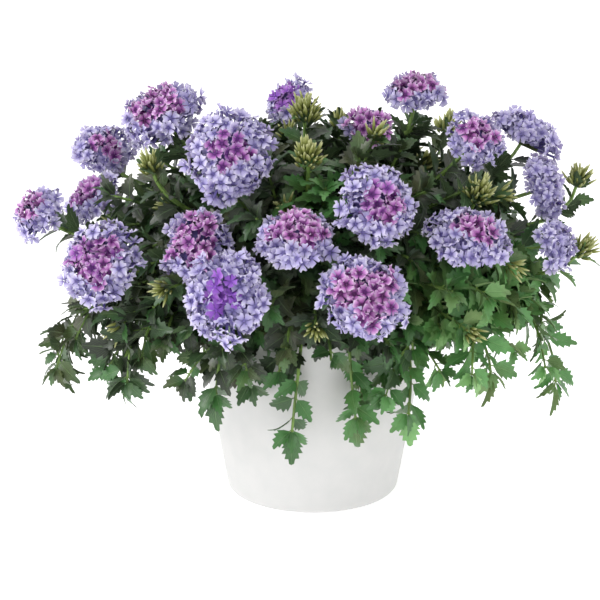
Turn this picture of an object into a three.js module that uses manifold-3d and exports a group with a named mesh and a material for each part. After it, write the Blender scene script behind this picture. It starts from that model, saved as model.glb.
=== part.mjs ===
// A pot of trailing garden verbena in flower: domed heads of five-lobed florets over toothed leaves,
// in a plain pot.
//
// Units are millimetres, +Z is up, and the origin is the centre of the pot's flat base. -Y is the front.
// Shoots climb from a crown in the potting soil, and end under a flower head or in a cluster of buds.
// Eleven short ones lean out over the rim.
// Around the rim, trailing stems stand in holes of their own, arch over the pot's edge and hang down.
// Heads, leaves and stems are closed skins made point by point. Only the crown and the soil need joins
// and cuts.

import * as THREE from "three";
import { mergeVertices } from "three/addons/utils/BufferGeometryUtils.js";
import Module from "manifold-3d";

const wasm = await Module();
wasm.setup();

const DEGREE = Math.PI / 180;

// Driving dimensions

const POT = {
  baseRadius: 61,
  rimRadius: 84,
  height: 130,
  wall: 4,
  floor: 6,
  footRound: 5,
  rimRound: 1.6,
  sides: 32,
};

const SOIL = {
  top: 117,
  gap: 0.8,
  floorGap: 0.3,
  lump: 1.8, // how far its top rolls up and down
  roll: { x: 0.11, y: 0.13, shift: 0.6 }, // radians a millimetre, and where the waves start
  levelEdge: 2, // stays level along the pot's wall
  rings: [40],
  sides: 16,
};

const CROWN = {
  sides: 14,
  scale: 11, // how far the leafy points of the crown stand out
  scales: [0.7, 1.3], // shares of that
  rises: [-5.6, 8.4], // how far up their tips lie
  uneven: [-4, 4], // how far the mound's corners lie off its outline
  stray: [-0.15, 0.15], // and along it, in shares of a side
  // [height, radius]: a short foot in the soil that widens into the heart of the bush
  outline: [
    [106, 13],
    [121, 14],
    [136, 30],
    [152, 58],
    [172, 87],
    [197, 100],
    [222, 86],
    [241, 58],
    [252, 26],
  ],
  plainRows: 2, // the lowest rows are a bare stump
  peak: 257,
  leaf: [38, 25],
  pitches: [-17.6, 26.4],
  joined: 0.2, // detail smaller than this goes where the crown's pieces join
};

const STEM = {
  radius: 1.9,
  trailingRadius: 2.1,
  nodeHalf: 1.6,
  inSoil: 11,
  aboveSoil: 3,
  holeGap: 0.5,
  holeAbove: 20, // how far the hole's cutter stands out of the soil
  clear: 0.6, // kept free around the crown's shoots
};

const LEAF = {
  thickness: 1.3,
  fold: 0.24, // how steeply the two halves rise from the midrib
  clear: 0.8, // kept free around a leaf
  lengths: [0.86, 1.14], // shares of the size that a leaf's stem gives
  widths: [0.88, 1.12],
  droops: [0.12, 0.26], // how far the tip hangs, as a share of the length
  pitches: [-8, 8], // degrees about the stem's own pitch
  tipShare: 0.8, // size of a leaf at a stem's end
  // one side of the outline, from the stalk to the last tooth: [share of the length, share of the half width]
  side: [
    [0.36, 1.0],
    [0.52, 0.6],
    [0.74, 0.68],
  ],
};

// Turns tried in order when a leaf would touch another piece:
// [degrees towards the stem's tip, share of its size].
const LEAF_TURNS = [
  [0, 1],
  [18, 1],
  [-18, 1],
  [36, 0.9],
  [-36, 0.9],
  [20, 0.72],
  [-20, 0.72],
  [45, 0.6],
];

const HEAD = {
  rise: 0.64, // height of the dome over its radius
  core: 0.76, // the florets' roots, as a share of the dome
  throat: 0.87,
  petalWidth: 0.64, // of the cell's edge, at the petal's end
  petalPull: 0.13, // how far a petal stands back from the next floret's
  skirt: 97, // degrees from the axis to the lowest florets' edge
  innermost: 15, // degrees from the axis to the middle floret's edge
  inner: 41, // and to the edge of those around it
  youngInner: 31,
  youngFlorets: 5,
  paleSpread: 1.25, // how much farther out those edges lie on a head of one kind
  fullRadius: 29, // heads above it have five florets around the middle one, the others four
  parting: 2.4, // degrees left free between inner and outer florets
  dish: 0.16,
  dishGap: 0.5,
  socketFloor: 0.06,
  socketMouth: 0.13,
  socketGap: 0.5,
  stalkDrop: 0.12, // from the socket's mouth to the stalk's last full ring
};

// Flower heads: [x, y, z, radius, lean, facing, kind].
// The place is the centre of the head's dome. Lean is the angle of its axis above level, facing the
// bearing it turns to, with 0 to the right, -90 to the front and 90 to the back.
// "open" has pink inner florets in a lavender ring, "young" one pink bud in a small ring, and "pale" is
// all lavender.
const HEADS = [
  [-105, 12, 270, 30, 50, -128, "open"],
  [-56, -78, 260, 32, 24, -88, "open"],
  [-16, 60, 272, 19, 42, -118, "young"],
  [72, 22, 284, 23, 76, -80, "open"],
  [37, -16, 268, 16, 46, -92, "young"],
  [110, -32, 262, 22, 42, -66, "open"],
  [153, 48, 249, 28, 60, 10, "pale"],
  [159, -6, 222, 24, 22, -18, "pale"],
  [40, -112, 234, 28, 24, -80, "open"],
  [102, -94, 205, 29, 62, -62, "open"],
  [-12, -118, 211, 28, 72, -92, "open"],
  [32, -146, 180, 30, 36, -84, "open"],
  [-56, -144, 180, 31, 24, -98, "open"],
  [-77, -90, 200, 26, 34, -108, "open"],
  [-143, -76, 185, 30, 30, -112, "open"],
  [-191, -16, 206, 22, 42, -146, "open"],
  [-157, 24, 207, 23, 50, -150, "open"],
  [-152, 52, 239, 22, 40, -80, "young"],
  [165, -46, 191, 19, 16, -30, "pale"],
  [-104, 104, 180, 30, 34, 136, "open"],
  [-28, 140, 172, 32, 30, 100, "open"],
  [120, 110, 184, 28, 32, 46, "pale"],
  [-64, 78, 232, 27, 58, 122, "open"],
  [42, 98, 224, 28, 54, 76, "open"],
];

// Shoots that end in green buds: [x, y, z, lean, facing].
const BUDS = [
  [-6, -24, 273, 80, -90],
  [-4, -78, 254, 62, -90],
  [110, -50, 223, 62, -60],
  [190, 36, 215, 78, 10],
  [184, -22, 178, 50, -15],
  [-109, -48, 242, 70, -140],
  [100, 100, 240, 60, 50],
];
const BUD = { radius: 9, spike: 1.75, core: 0.62, around: 5, top: 30, rim: 105, stalkDrop: 0.5 };

// How a shoot runs from the crown to its head or buds: where its foot is, and shares of the way for its
// bends.
const SHOOT = {
  footRadius: 58,
  footShare: 0.45,
  footLow: 150,
  footRise: 0.35,
  leadShare: 0.35,
  leadRise: 0.1,
  endPull: 0.34,
  flowerPair: 0.74,
  budPair: 0.72,
};

// Trailing stems: [bearing, reach, end height, crest height, pairs of leaves].
// Reach is the tip's distance from the pot's axis, and crest the height towards which the stem arches.
const TRAILERS = [
  [-168, 178, 104, 172, 6],
  [-146, 154, 108, 164, 5],
  [-122, 128, 104, 164, 5],
  [-97, 100, 74, 166, 4],
  [-74, 103, 84, 164, 4],
  [-54, 112, 84, 164, 4],
  [-35, 148, 112, 164, 5],
  [-15, 176, 94, 168, 6],
  [42, 160, 100, 164, 4],
  [92, 142, 92, 166, 4],
  [141, 160, 98, 164, 3],
];
// How a trailing stem runs: where it stands, how it leans and rounds its crest, and where its leaves
// begin and end.
const TRAILER = { root: 66, lean: 3, shoulder: 8, leastBend: 100, firstPair: 0.26, lastPair: 0.93 };

// Shoots that lean over the rim between the trailing stems: [bearing, reach, end height, pairs of leaves].
// Those on the right of the front reach farther out, under a thick stand of young leaves.
const RIM_SHOOTS = [
  [-157, 108, 140, 1],
  [-134, 104, 138, 1],
  [-110, 100, 140, 1],
  [-64, 100, 140, 1],
  [-45, 116, 140, 1],
  [-25, 150, 146, 3],
  [-2, 160, 148, 2],
  [23, 108, 138, 1],
  [67, 106, 138, 1],
  [116, 106, 138, 1],
  [166, 108, 140, 1],
];
// How such a shoot runs: heights above its end, shares of its reach, and its last pair of leaves and the
// step to it.
const RIM = {
  root: 60,
  rootShare: 0.45,
  rootRise: 22,
  archShare: 0.72,
  archRise: 30,
  bendRise: 26,
  lastPair: 0.74,
  pairStep: 0.17,
};

const TRAILER_LEAF = [32, 23];
const SHOOT_LEAF = [40, 26];
const RIM_LEAF = [34, 23];

// Degrees that leaves rise from their stem.
const PITCH = { trailing: 38, flower: 34, bud: 40, rim: 36 };

// Where each kind of piece starts in the fixed draw, and the step from one of its kind to the next.
const SEEDS = {
  crownCorner: [0, 40],
  crownCell: [700, 40],
  trailing: [500, 97],
  flower: [2000, 61],
  bud: [6000, 53],
  rim: [8000, 47],
  ring: 11,
  side: 3,
};

// Points, directions and draws

const point = (x, y, z) => new THREE.Vector3(x, y, z);
const HEART = point(0, 0, 120); // leaves turn their upper sides away from here
const LIGHT_LIFT = 0.35; // and this much up
const SAME_POINT = 1e-4; // points nearer than this are one
const polar = (radius, bearing, height) =>
  point(radius * Math.cos(bearing * DEGREE), radius * Math.sin(bearing * DEGREE), height);
const between = (a, b, share) => a.clone().lerp(b, share);
const mean = (list) => list.reduce((sum, p) => sum.add(p), point(0, 0, 0)).divideScalar(list.length);

// A fixed draw from 0 to 1 for each whole number, the same on every run.
const draw = (n) => {
  const s = Math.sin(n * 12.9898 + 4.1414) * 43758.5453;
  return s - Math.floor(s);
};

const drawIn = ([low, high], n) => low + (high - low) * draw(n);
const seedOf = ([first, step], i) => first + step * i;

// A closed surface gathered point by point, with faces turning anticlockwise as seen from outside.
class Skin {
  constructor() {
    this.points = [];
    this.faces = [];
  }

  add(p) {
    this.points.push(p);
    return this.points.length - 1;
  }

  face(...corners) {
    for (let i = 2; i < corners.length; i++) this.faces.push(corners[0], corners[i - 1], corners[i]);
  }

  placed(matrix) {
    this.points.forEach((p) => p.applyMatrix4(matrix));
    return this;
  }

  geometry() {
    return new THREE.BufferGeometry().setFromPoints(this.points).setIndex(this.faces);
  }
}

function solidOf(geometry) {
  const bare = geometry.clone();
  ["normal", "uv"].forEach((name) => bare.deleteAttribute(name));
  const merged = mergeVertices(bare, SAME_POINT);
  return new wasm.Manifold(
    new wasm.Mesh({
      numProp: 3,
      vertProperties: new Float32Array(merged.attributes.position.array),
      triVerts: new Uint32Array(merged.index.array),
    }),
  );
}

function geometryOf(solid) {
  const mesh = solid.getMesh();
  return new THREE.BufferGeometry()
    .setAttribute("position", new THREE.BufferAttribute(mesh.vertProperties, 3))
    .setIndex(new THREE.BufferAttribute(mesh.triVerts, 1));
}

const largestBody = (solid) =>
  solid.decompose().reduce((best, body) => (body.volume() > best.volume() ? body : best));

// A solid turned about the vertical axis from [radius, height] pairs that start and end on the axis.
function turned(profile, sides) {
  const outline = profile.map(([radius, height]) => new THREE.Vector2(radius, height));
  return new THREE.LatheGeometry(outline, sides).rotateX(Math.PI / 2);
}

// A straight-sided solid between two rings of points, to cut a hole with.
function column(lower, upper) {
  const skin = new Skin();
  const [low, high] = [lower, upper].map((ring) => ring.map((p) => skin.add(p)));
  skin.face(...[...low].reverse());
  skin.face(...high);
  low.forEach((from, i) => {
    const next = (i + 1) % low.length;
    skin.face(from, low[next], high[next], high[i]);
  });
  return solidOf(skin.geometry());
}

// The pot

const wallSlope = (POT.rimRadius - POT.baseRadius) / POT.height;
const outerRadius = (height) => POT.baseRadius + wallSlope * height;
const innerRadius = (height) => outerRadius(height) - POT.wall;

function potShape() {
  const { height, floor, footRound: foot, rimRound: rim, sides } = POT;
  const corner = [90, 45, 0].map((turn) => [
    outerRadius(foot) - foot * (1 - Math.cos(turn * DEGREE)),
    foot * (1 - Math.sin(turn * DEGREE)),
  ]);
  return turned(
    [
      [0, 0],
      ...corner,
      [outerRadius(height - rim), height - rim],
      [outerRadius(height) - rim, height],
      [innerRadius(height) + rim, height],
      [innerRadius(height - rim), height - rim],
      [innerRadius(floor), floor],
      [0, floor],
    ],
    sides,
  );
}

// Stems and leaves

const RING_TURNS = [45, 135, 225, 315]; // verbena stems are square

function ringPoints(frame, radius) {
  return RING_TURNS.map((turn) =>
    frame.at
      .clone()
      .addScaledVector(frame.out, radius * Math.cos(turn * DEGREE))
      .addScaledVector(frame.side, radius * Math.sin(turn * DEGREE)),
  );
}

// Frames along a curve that turn with it and don't twist, worked out from the end where the first normal
// is given.
function framesAlong(curve, shares, firstOut, fromTip) {
  const order = fromTip ? [...shares].reverse() : shares;
  let out = firstOut.clone();
  const frames = order.map((share) => {
    const along = curve.getTangentAt(share).normalize();
    out = out.clone().addScaledVector(along, -out.dot(along)).normalize();
    return { at: curve.getPointAt(share), along, out, side: along.clone().cross(out) };
  });
  return fromTip ? frames.reverse() : frames;
}

// The way a leaf's upper side turns: away from the heart of the bush and up.
const lightAt = (p) => p.clone().sub(HEART).normalize().add(point(0, 0, LIGHT_LIFT)).normalize();

// Grows a leaf in place of a four-cornered face, whose corners run anticlockwise.
// The blade turns to the light, and starts from the edge of the face that lies nearest to its own width.
function growLeaf(skin, face, leaf) {
  const root = mean(face.map((i) => skin.points[i]));
  const along = leaf.out.clone().multiplyScalar(Math.cos(leaf.pitch));
  along.addScaledVector(leaf.up, Math.sin(leaf.pitch)).normalize();
  const light = lightAt(root);
  const over = light.addScaledVector(along, -light.dot(along)).normalize();
  const side = over.clone().cross(along);
  const match = face.map((from, i) =>
    skin.points[face[(i + 1) % 4]].clone().sub(skin.points[from]).dot(side),
  );
  const start = match.indexOf(Math.max(...match));
  const [a, b, c, d] = [0, 1, 2, 3].map((i) => face[(start + i) % 4]);
  const halfWidth = leaf.width / 2;
  const spot = (share, across, lift) => {
    const fold = LEAF.fold * Math.abs(across) * halfWidth;
    const droop = leaf.droop * leaf.length * share ** 2;
    return root
      .clone()
      .addScaledVector(along, share * leaf.length)
      .addScaledVector(side, across * halfWidth)
      .addScaledVector(over, fold - droop + lift);
  };
  const right = LEAF.side.map(([share, across]) => skin.add(spot(share, across, 0)));
  const tip = skin.add(spot(1, 0, 0));
  const left = LEAF.side.map(([share, across]) => skin.add(spot(share, -across, 0)));
  const upper = skin.add(spot(0.5, 0, leaf.thickness / 2));
  const under = skin.add(spot(0.5, 0, -leaf.thickness / 2));
  const edge = [b, ...right, tip, ...left.reverse(), a];
  for (let i = 1; i < edge.length; i++) skin.face(edge[i - 1], edge[i], under);
  skin.face(a, b, under);
  const upperEdge = [c, ...edge.slice(1, -1), d];
  for (let i = 1; i < upperEdge.length; i++) skin.face(upperEdge[i], upperEdge[i - 1], upper);
  skin.face(c, d, upper);
  skin.face(b, c, edge[1]);
  skin.face(d, a, edge[edge.length - 2]);
}

// The same leaf as a closed solid of its own, to see what it would touch.
function leafSolid(cornerPoints, leaf) {
  const skin = new Skin();
  const corners = cornerPoints.map((p) => skin.add(p.clone()));
  growLeaf(skin, corners, leaf);
  skin.face(...[...corners].reverse());
  return solidOf(skin.geometry());
}

const asObstacle = (solid) => ({ solid, box: solid.boundingBox() });

const boxesMeet = (a, b, gap) =>
  [0, 1, 2].every((i) => a.min[i] < b.max[i] + gap && b.min[i] < a.max[i] + gap);

// The first turn of a leaf that keeps clear of the other pieces and doesn't cross a leaf of its own, or null.
function clearLeaf(cornerPoints, leaf, others, own = []) {
  for (const [turn, size] of LEAF_TURNS) {
    const tried = {
      ...leaf,
      pitch: leaf.pitch + turn * DEGREE,
      length: leaf.length * size,
      width: leaf.width * size,
    };
    const solid = leafSolid(cornerPoints, tried);
    const near = [...others, ...own].filter((other) => boxesMeet(solid.boundingBox(), other.box, LEAF.clear));
    const hit = near.some((other) =>
      own.includes(other)
        ? !solid.intersect(other.solid).isEmpty()
        : solid.minGap(other.solid, LEAF.clear) < LEAF.clear,
    );
    if (!hit) return tried;
  }
  return null;
}

// A leaf's own size and bend, drawn about the size given.
const someLeaf = ([length, width], seed) => ({
  length: length * drawIn(LEAF.lengths, seed + 1),
  width: width * drawIn(LEAF.widths, seed + 2),
  droop: drawIn(LEAF.droops, seed + 3),
  thickness: LEAF.thickness,
});

// A face's own outward and upward directions, from corners that start with its lower edge.
function outOf([a, b, , d]) {
  const up = d.clone().sub(a).normalize();
  return { out: b.clone().sub(a).cross(up).normalize(), up };
}

// A square stem along a curve with pairs of leaves, each pair at right angles to the last.
// stem: { curve, radius, pairs: shares of its length, firstOut, fromTip, leaf, pitch, seed, tipLeaf, root,
// tip, bare }
function leafyStem(stem, others) {
  const { curve, radius, pairs, leaf } = stem;
  const half = STEM.nodeHalf / curve.getLength();
  const shares = [0, ...pairs.flatMap((share) => [share - half, share + half]), 1];
  const frames = framesAlong(curve, shares, stem.firstOut, stem.fromTip);
  if (stem.root) frames.unshift({ ...frames[0], at: stem.root });
  if (stem.tip) frames.push({ ...frames[frames.length - 1], at: stem.tip });
  const skin = new Skin();
  const rings = frames.map((frame) => ringPoints(frame, radius).map((p) => skin.add(p)));
  const firstPair = stem.root ? 2 : 1;
  skin.face(...[...rings[0]].reverse());
  for (let j = 0; j + 1 < rings.length; j++) {
    const pair = (j - firstPair) / 2;
    const carries = !stem.bare && Number.isInteger(pair) && pair >= 0 && pair < pairs.length;
    for (let k = 0; k < 4; k++) {
      const next = (k + 1) % 4;
      const corners = [rings[j][k], rings[j][next], rings[j + 1][next], rings[j + 1][k]];
      const spots = corners.map((i) => skin.points[i]);
      const seed = stem.seed + SEEDS.ring * j + SEEDS.side * k;
      const pitch = (stem.pitch + drawIn(LEAF.pitches, seed)) * DEGREE;
      const wanted = { ...someLeaf(leaf, seed), ...outOf(spots), pitch };
      const grown = carries && (k + pair) % 2 === 0 && clearLeaf(spots, wanted, others);
      if (grown) growLeaf(skin, corners, grown);
      else skin.face(...corners);
    }
  }
  const last = rings[rings.length - 1];
  const lastSpots = last.map((i) => skin.points[i]);
  const tipSize = leaf.map((size) => LEAF.tipShare * size);
  const wantedTip = { ...someLeaf(tipSize, stem.seed), ...outOf(lastSpots), pitch: 0 };
  const tipLeaf = stem.tipLeaf && clearLeaf(lastSpots, wantedTip, others);
  if (tipLeaf) growLeaf(skin, last, tipLeaf);
  else skin.face(...last);
  return skin.geometry();
}

// Flower heads

const onDome = (radius, share, offAxis, round) =>
  point(
    share * radius * Math.sin(offAxis * DEGREE) * Math.cos(round * DEGREE),
    share * radius * Math.sin(offAxis * DEGREE) * Math.sin(round * DEGREE),
    share * radius * HEAD.rise * Math.cos(offAxis * DEGREE),
  );

// Florets are much of a size, so a small head holds fewer: four around the middle one instead of five.
const floretsAround = (radius) => (radius > HEAD.fullRadius ? 5 : 4);

function domeRing(skin, radius, share, offAxis, count, start = 0) {
  return Array.from({ length: count }, (_, i) =>
    skin.add(onDome(radius, share, offAxis, start + (360 / count) * i)),
  );
}

// One floret over a cell of the dome: a petal stands on each of the cell's edges, around a sunken throat.
// Open petals end in a broad edge, and those of a bud in a point. So does the petal that points up the dome.
function addFloret(skin, cell, open) {
  const corners = cell.map((i) => skin.points[i]);
  const middle = mean(corners);
  const lifted = (p) => between(p, middle, HEAD.petalPull).divideScalar(HEAD.core);
  const throat = skin.add(middle.clone().multiplyScalar(HEAD.throat / HEAD.core));
  cell.forEach((from, i) => {
    const to = cell[(i + 1) % cell.length];
    const ends = open && i < 4 ? [(1 - HEAD.petalWidth) / 2, (1 + HEAD.petalWidth) / 2] : [0.5];
    const tips = ends.map((share) => skin.add(lifted(between(skin.points[from], skin.points[to], share))));
    const over = [from, ...tips, to];
    for (let k = 1; k < over.length; k++) skin.face(throat, over[k - 1], over[k]);
    skin.face(from, to, ...[...tips].reverse());
  });
}

// Cells between an inner ring and an outer ring with twice as many points.
const cellsBetween = (inner, outer) =>
  inner.map((from, i) => [
    from,
    outer[2 * i],
    outer[2 * i + 1],
    outer[(2 * i + 2) % outer.length],
    inner[(i + 1) % inner.length],
  ]);

// Closes the underside of a head, with a square socket in its middle for the flower stalk.
function addUnderside(skin, rim, radius) {
  const socket = STEM.radius + STEM.holeGap;
  const level = (height) =>
    RING_TURNS.map((turn) =>
      skin.add(point(socket * Math.cos(turn * DEGREE), socket * Math.sin(turn * DEGREE), height)),
    );
  const mouth = level(-HEAD.socketMouth * radius);
  const floor = level(HEAD.socketFloor * radius);
  const step = 360 / rim.length;
  let corner = 0;
  rim.forEach((from, i) => {
    const to = rim[(i + 1) % rim.length];
    const quarter = Math.floor((step * (i + 0.5)) / 90);
    if (quarter > corner) {
      skin.face(from, mouth[corner], mouth[quarter]);
      corner = quarter;
    }
    skin.face(to, from, mouth[quarter]);
  });
  skin.face(rim[0], mouth[3], mouth[0]);
  mouth.forEach((from, i) => {
    const next = (i + 1) % 4;
    skin.face(mouth[next], from, floor[i], floor[next]);
  });
  skin.face(...[...floor].reverse());
}

// A dish between the two kinds of florets: the lower one is the outer florets' top, and the upper the
// inner ones' foot.
function addDish(skin, ring, height, facesUp) {
  const bottom = skin.add(point(0, 0, height));
  ring.forEach((from, i) => {
    const to = ring[(i + 1) % ring.length];
    if (facesUp) skin.face(from, to, bottom);
    else skin.face(to, from, bottom);
  });
}

function headShapes(radius, kind) {
  const outer = new Skin();
  const inner = new Skin();
  const { core, skirt, parting } = HEAD;
  const dish = HEAD.dish * radius;
  const around = floretsAround(radius);
  if (kind === "pale") {
    const top = domeRing(outer, radius, core, HEAD.paleSpread * HEAD.innermost, around);
    const middle = domeRing(outer, radius, core, HEAD.paleSpread * HEAD.inner, 2 * around);
    const rim = domeRing(outer, radius, core, skirt, 4 * around);
    const cells = [top, ...cellsBetween(top, middle), ...cellsBetween(middle, rim)];
    cells.forEach((cell) => addFloret(outer, cell, true));
    addUnderside(outer, rim, radius);
    return { outer };
  }
  const young = kind === "young";
  const split = young ? HEAD.youngInner : HEAD.inner;
  const count = young ? HEAD.youngFlorets : 2 * around;
  const seat = domeRing(outer, radius, core, split, count);
  const rim = domeRing(outer, radius, core, skirt, 2 * count);
  cellsBetween(seat, rim).forEach((cell) => addFloret(outer, cell, true));
  addDish(outer, seat, dish, true);
  addUnderside(outer, rim, radius);
  const foot = domeRing(inner, radius, core, split - parting, count);
  if (young) {
    addFloret(inner, foot, false);
  } else {
    const top = domeRing(inner, radius, core, HEAD.innermost, around);
    [top, ...cellsBetween(top, foot)].forEach((cell) => addFloret(inner, cell, false));
  }
  addDish(inner, foot, dish + HEAD.dishGap, false);
  return { outer, inner };
}

const facingOf = (lean, bearing) => polar(Math.cos(lean * DEGREE), bearing, Math.sin(lean * DEGREE));

// Turns a shape's own +Z to a direction and sets it at a place.
function standing(at, direction) {
  const turn = new THREE.Quaternion().setFromUnitVectors(point(0, 0, 1), direction);
  return new THREE.Matrix4().compose(at, turn, point(1, 1, 1));
}

// The crown

const crownRing = (radius, height) =>
  Array.from({ length: CROWN.sides }, (_, i) => polar(radius, (360 / CROWN.sides) * i, height));

// The heart of the bush: a stump in the soil that widens into a mound covered in leaves and leafy points.
function crownShape(others) {
  const { sides, outline, plainRows, scale, leaf, peak } = CROWN;
  const skin = new Skin();
  const rings = outline.map(([height, radius], j) =>
    Array.from({ length: sides }, (_, i) => {
      const leafy = j > plainRows;
      const seed = seedOf(SEEDS.crownCorner, j) + i;
      const offset = leafy ? 0.5 * (j % 2) + drawIn(CROWN.stray, seed + 7) : 0;
      const bulge = leafy ? drawIn(CROWN.uneven, seed) : 0;
      return skin.add(polar(radius + bulge, (360 / sides) * (i + offset), height));
    }),
  );
  const leaves = [];
  for (let j = 0; j + 1 < rings.length; j++) {
    for (let i = 0; i < sides; i++) {
      const next = (i + 1) % sides;
      const corners = [rings[j][i], rings[j][next], rings[j + 1][next], rings[j + 1][i]];
      const seed = seedOf(SEEDS.crownCell, j) + i;
      if (j < plainRows) {
        skin.face(...corners);
        continue;
      }
      const spots = corners.map((n) => skin.points[n]);
      const facing = outOf(spots);
      const wanted = { ...someLeaf(leaf, seed), ...facing, pitch: drawIn(CROWN.pitches, seed) * DEGREE };
      const grown = others && (i + j) % 2 === 0 && clearLeaf(spots, wanted, others, leaves);
      if (grown) {
        leaves.push(asObstacle(leafSolid(spots, grown)));
        growLeaf(skin, corners, grown);
      } else {
        const tip = mean(spots).addScaledVector(facing.out, scale * drawIn(CROWN.scales, seed));
        const apex = skin.add(tip.addScaledVector(facing.up, drawIn(CROWN.rises, seed + 1)));
        corners.forEach((from, n) => skin.face(from, corners[(n + 1) % 4], apex));
      }
    }
  }
  const foot = skin.add(point(0, 0, outline[0][0]));
  const top = skin.add(point(0, 0, peak));
  const last = rings[rings.length - 1];
  rings[0].forEach((from, i) => skin.face(rings[0][(i + 1) % sides], from, foot));
  last.forEach((from, i) => skin.face(from, last[(i + 1) % sides], top));
  return skin.geometry();
}

// A shoot from inside the crown to just under a head or a bud cluster, which it meets along its axis.
function shootCurve(end, direction) {
  const bearing = Math.atan2(end.y, end.x) / DEGREE;
  const footRadius = Math.min(SHOOT.footRadius, SHOOT.footShare * Math.hypot(end.x, end.y));
  const start = polar(footRadius, bearing, SHOOT.footLow + SHOOT.footRise * (end.z - SHOOT.footLow));
  const gap = start.distanceTo(end);
  const lead = between(start, end, SHOOT.leadShare).add(point(0, 0, SHOOT.leadRise * gap));
  const pull = end.clone().addScaledVector(direction, -SHOOT.endPull * gap);
  return new THREE.CubicBezierCurve3(start, lead, pull, end);
}

// Putting the pieces together

const verbena = new THREE.Group();

const finish = (color, roughness) =>
  new THREE.MeshStandardMaterial({ color, roughness, metalness: 0, flatShading: true });
const MATERIALS = {
  pot: finish("#eeeeec", 0.35),
  soil: finish("#3a2a1e", 0.95),
  lavender: finish("#aaa0d8", 0.6),
  pink: finish("#b0559f", 0.6),
  leaf: finish("#2c5a2a", 0.6),
};

function addNode(name, geometry, material) {
  const mesh = new THREE.Mesh(geometry, material);
  mesh.name = name;
  verbena.add(mesh);
  return solidOf(geometry);
}

const twoDigits = (n) => String(n).padStart(2, "0");

const potSolid = addNode("pot", potShape(), MATERIALS.pot);

const headSolids = [];
const stalkEnds = HEADS.map(([x, y, z, radius, lean, facing, kind], i) => {
  const direction = facingOf(lean, facing);
  const place = standing(point(x, y, z), direction);
  const shapes = headShapes(radius, kind);
  const name = `flower_head_${twoDigits(i + 1)}`;
  const outer = shapes.outer.placed(place).geometry();
  headSolids.push(addNode(`${name}_outer_florets`, outer, MATERIALS.lavender));
  if (shapes.inner) {
    const inner = shapes.inner.placed(place).geometry();
    headSolids.push(addNode(`${name}_inner_florets`, inner, MATERIALS.pink));
  }
  const onAxis = (share) => point(0, 0, share * radius).applyMatrix4(place);
  return {
    direction,
    end: onAxis(-HEAD.socketMouth - HEAD.stalkDrop),
    tip: onAxis(HEAD.socketFloor).addScaledVector(direction, -HEAD.socketGap),
    out: point(1, 0, 0).transformDirection(place),
  };
});

const bareCrown = solidOf(crownShape());

// A shoot for each head and one for each cluster of buds, all from the crown.
const flowerShoots = stalkEnds.map(({ direction, end, tip, out }, i) => ({
  curve: shootCurve(end, direction),
  tip,
  radius: STEM.radius,
  pairs: [SHOOT.flowerPair],
  firstOut: out,
  fromTip: true,
  leaf: SHOOT_LEAF,
  pitch: PITCH.flower,
  seed: seedOf(SEEDS.flower, i),
}));

const budPlaces = BUDS.map(([x, y, z, lean, facing]) => {
  const direction = facingOf(lean, facing);
  return { at: point(x, y, z), direction, place: standing(point(x, y, z), direction) };
});
const budShoots = budPlaces.map(({ at, direction, place }, i) => ({
  curve: shootCurve(at.clone().addScaledVector(direction, -BUD.stalkDrop * BUD.radius), direction),
  radius: STEM.radius,
  pairs: [SHOOT.budPair],
  firstOut: point(1, 0, 0).transformDirection(place),
  fromTip: true,
  leaf: SHOOT_LEAF,
  pitch: PITCH.bud,
  seed: seedOf(SEEDS.bud, i),
}));

const rimShoots = RIM_SHOOTS.map(([bearing, reach, low, pairCount], i) => ({
  curve: new THREE.CubicBezierCurve3(
    polar(Math.min(RIM.root, RIM.rootShare * reach), bearing, low + RIM.rootRise),
    polar(RIM.archShare * reach, bearing, low + RIM.archRise),
    polar(reach, bearing, low + RIM.bendRise),
    polar(reach, bearing, low),
  ),
  radius: STEM.radius,
  pairs: Array.from({ length: pairCount }, (_, k) => RIM.lastPair - RIM.pairStep * (pairCount - 1 - k)),
  firstOut: polar(1, bearing + 45, 0),
  leaf: RIM_LEAF,
  pitch: PITCH.rim,
  seed: seedOf(SEEDS.rim, i),
  tipLeaf: true,
}));
const shoots = [...flowerShoots, ...budShoots, ...rimShoots];
const bareShoots = shoots.map((shoot) =>
  solidOf(leafyStem({ ...shoot, radius: shoot.radius + STEM.clear, bare: true }, [])),
);

const fixed = [potSolid, ...headSolids].map(asObstacle);

// Trailing stems stand upright in the soil, arch over the rim and hang.
const trailingSolids = [];
const stemHoles = [];
TRAILERS.forEach(([bearing, reach, low, crest, pairCount], i) => {
  const foot = polar(TRAILER.root, bearing, SOIL.top + STEM.aboveSoil);
  const root = foot.clone().setZ(SOIL.top - STEM.inSoil);
  const curve = new THREE.CubicBezierCurve3(
    foot,
    polar(TRAILER.root + TRAILER.lean, bearing, crest - TRAILER.shoulder),
    polar(Math.max(TRAILER.leastBend, reach), bearing, crest),
    polar(reach, bearing, low),
  );
  const firstOut = polar(1, bearing + 45, 0);
  const pairStep = (TRAILER.lastPair - TRAILER.firstPair) / (pairCount - 1);
  const pairs = Array.from({ length: pairCount }, (_, k) => TRAILER.firstPair + k * pairStep);
  const others = [...fixed, ...[bareCrown, ...bareShoots, ...trailingSolids].map(asObstacle)];
  const shape = leafyStem(
    {
      curve,
      root,
      radius: STEM.trailingRadius,
      pairs,
      firstOut,
      leaf: TRAILER_LEAF,
      pitch: PITCH.trailing,
      seed: seedOf(SEEDS.trailing, i),
      tipLeaf: true,
    },
    others,
  );
  trailingSolids.push(addNode(`trailing_stem_${twoDigits(i + 1)}`, shape, MATERIALS.leaf));

  const frame = { out: firstOut, side: point(0, 0, 1).cross(firstOut) };
  const holeRing = (height) =>
    ringPoints({ ...frame, at: foot.clone().setZ(height) }, STEM.trailingRadius + STEM.holeGap);
  stemHoles.push(column(holeRing(root.z - STEM.holeGap), holeRing(SOIL.top + STEM.holeAbove)));
});

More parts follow.
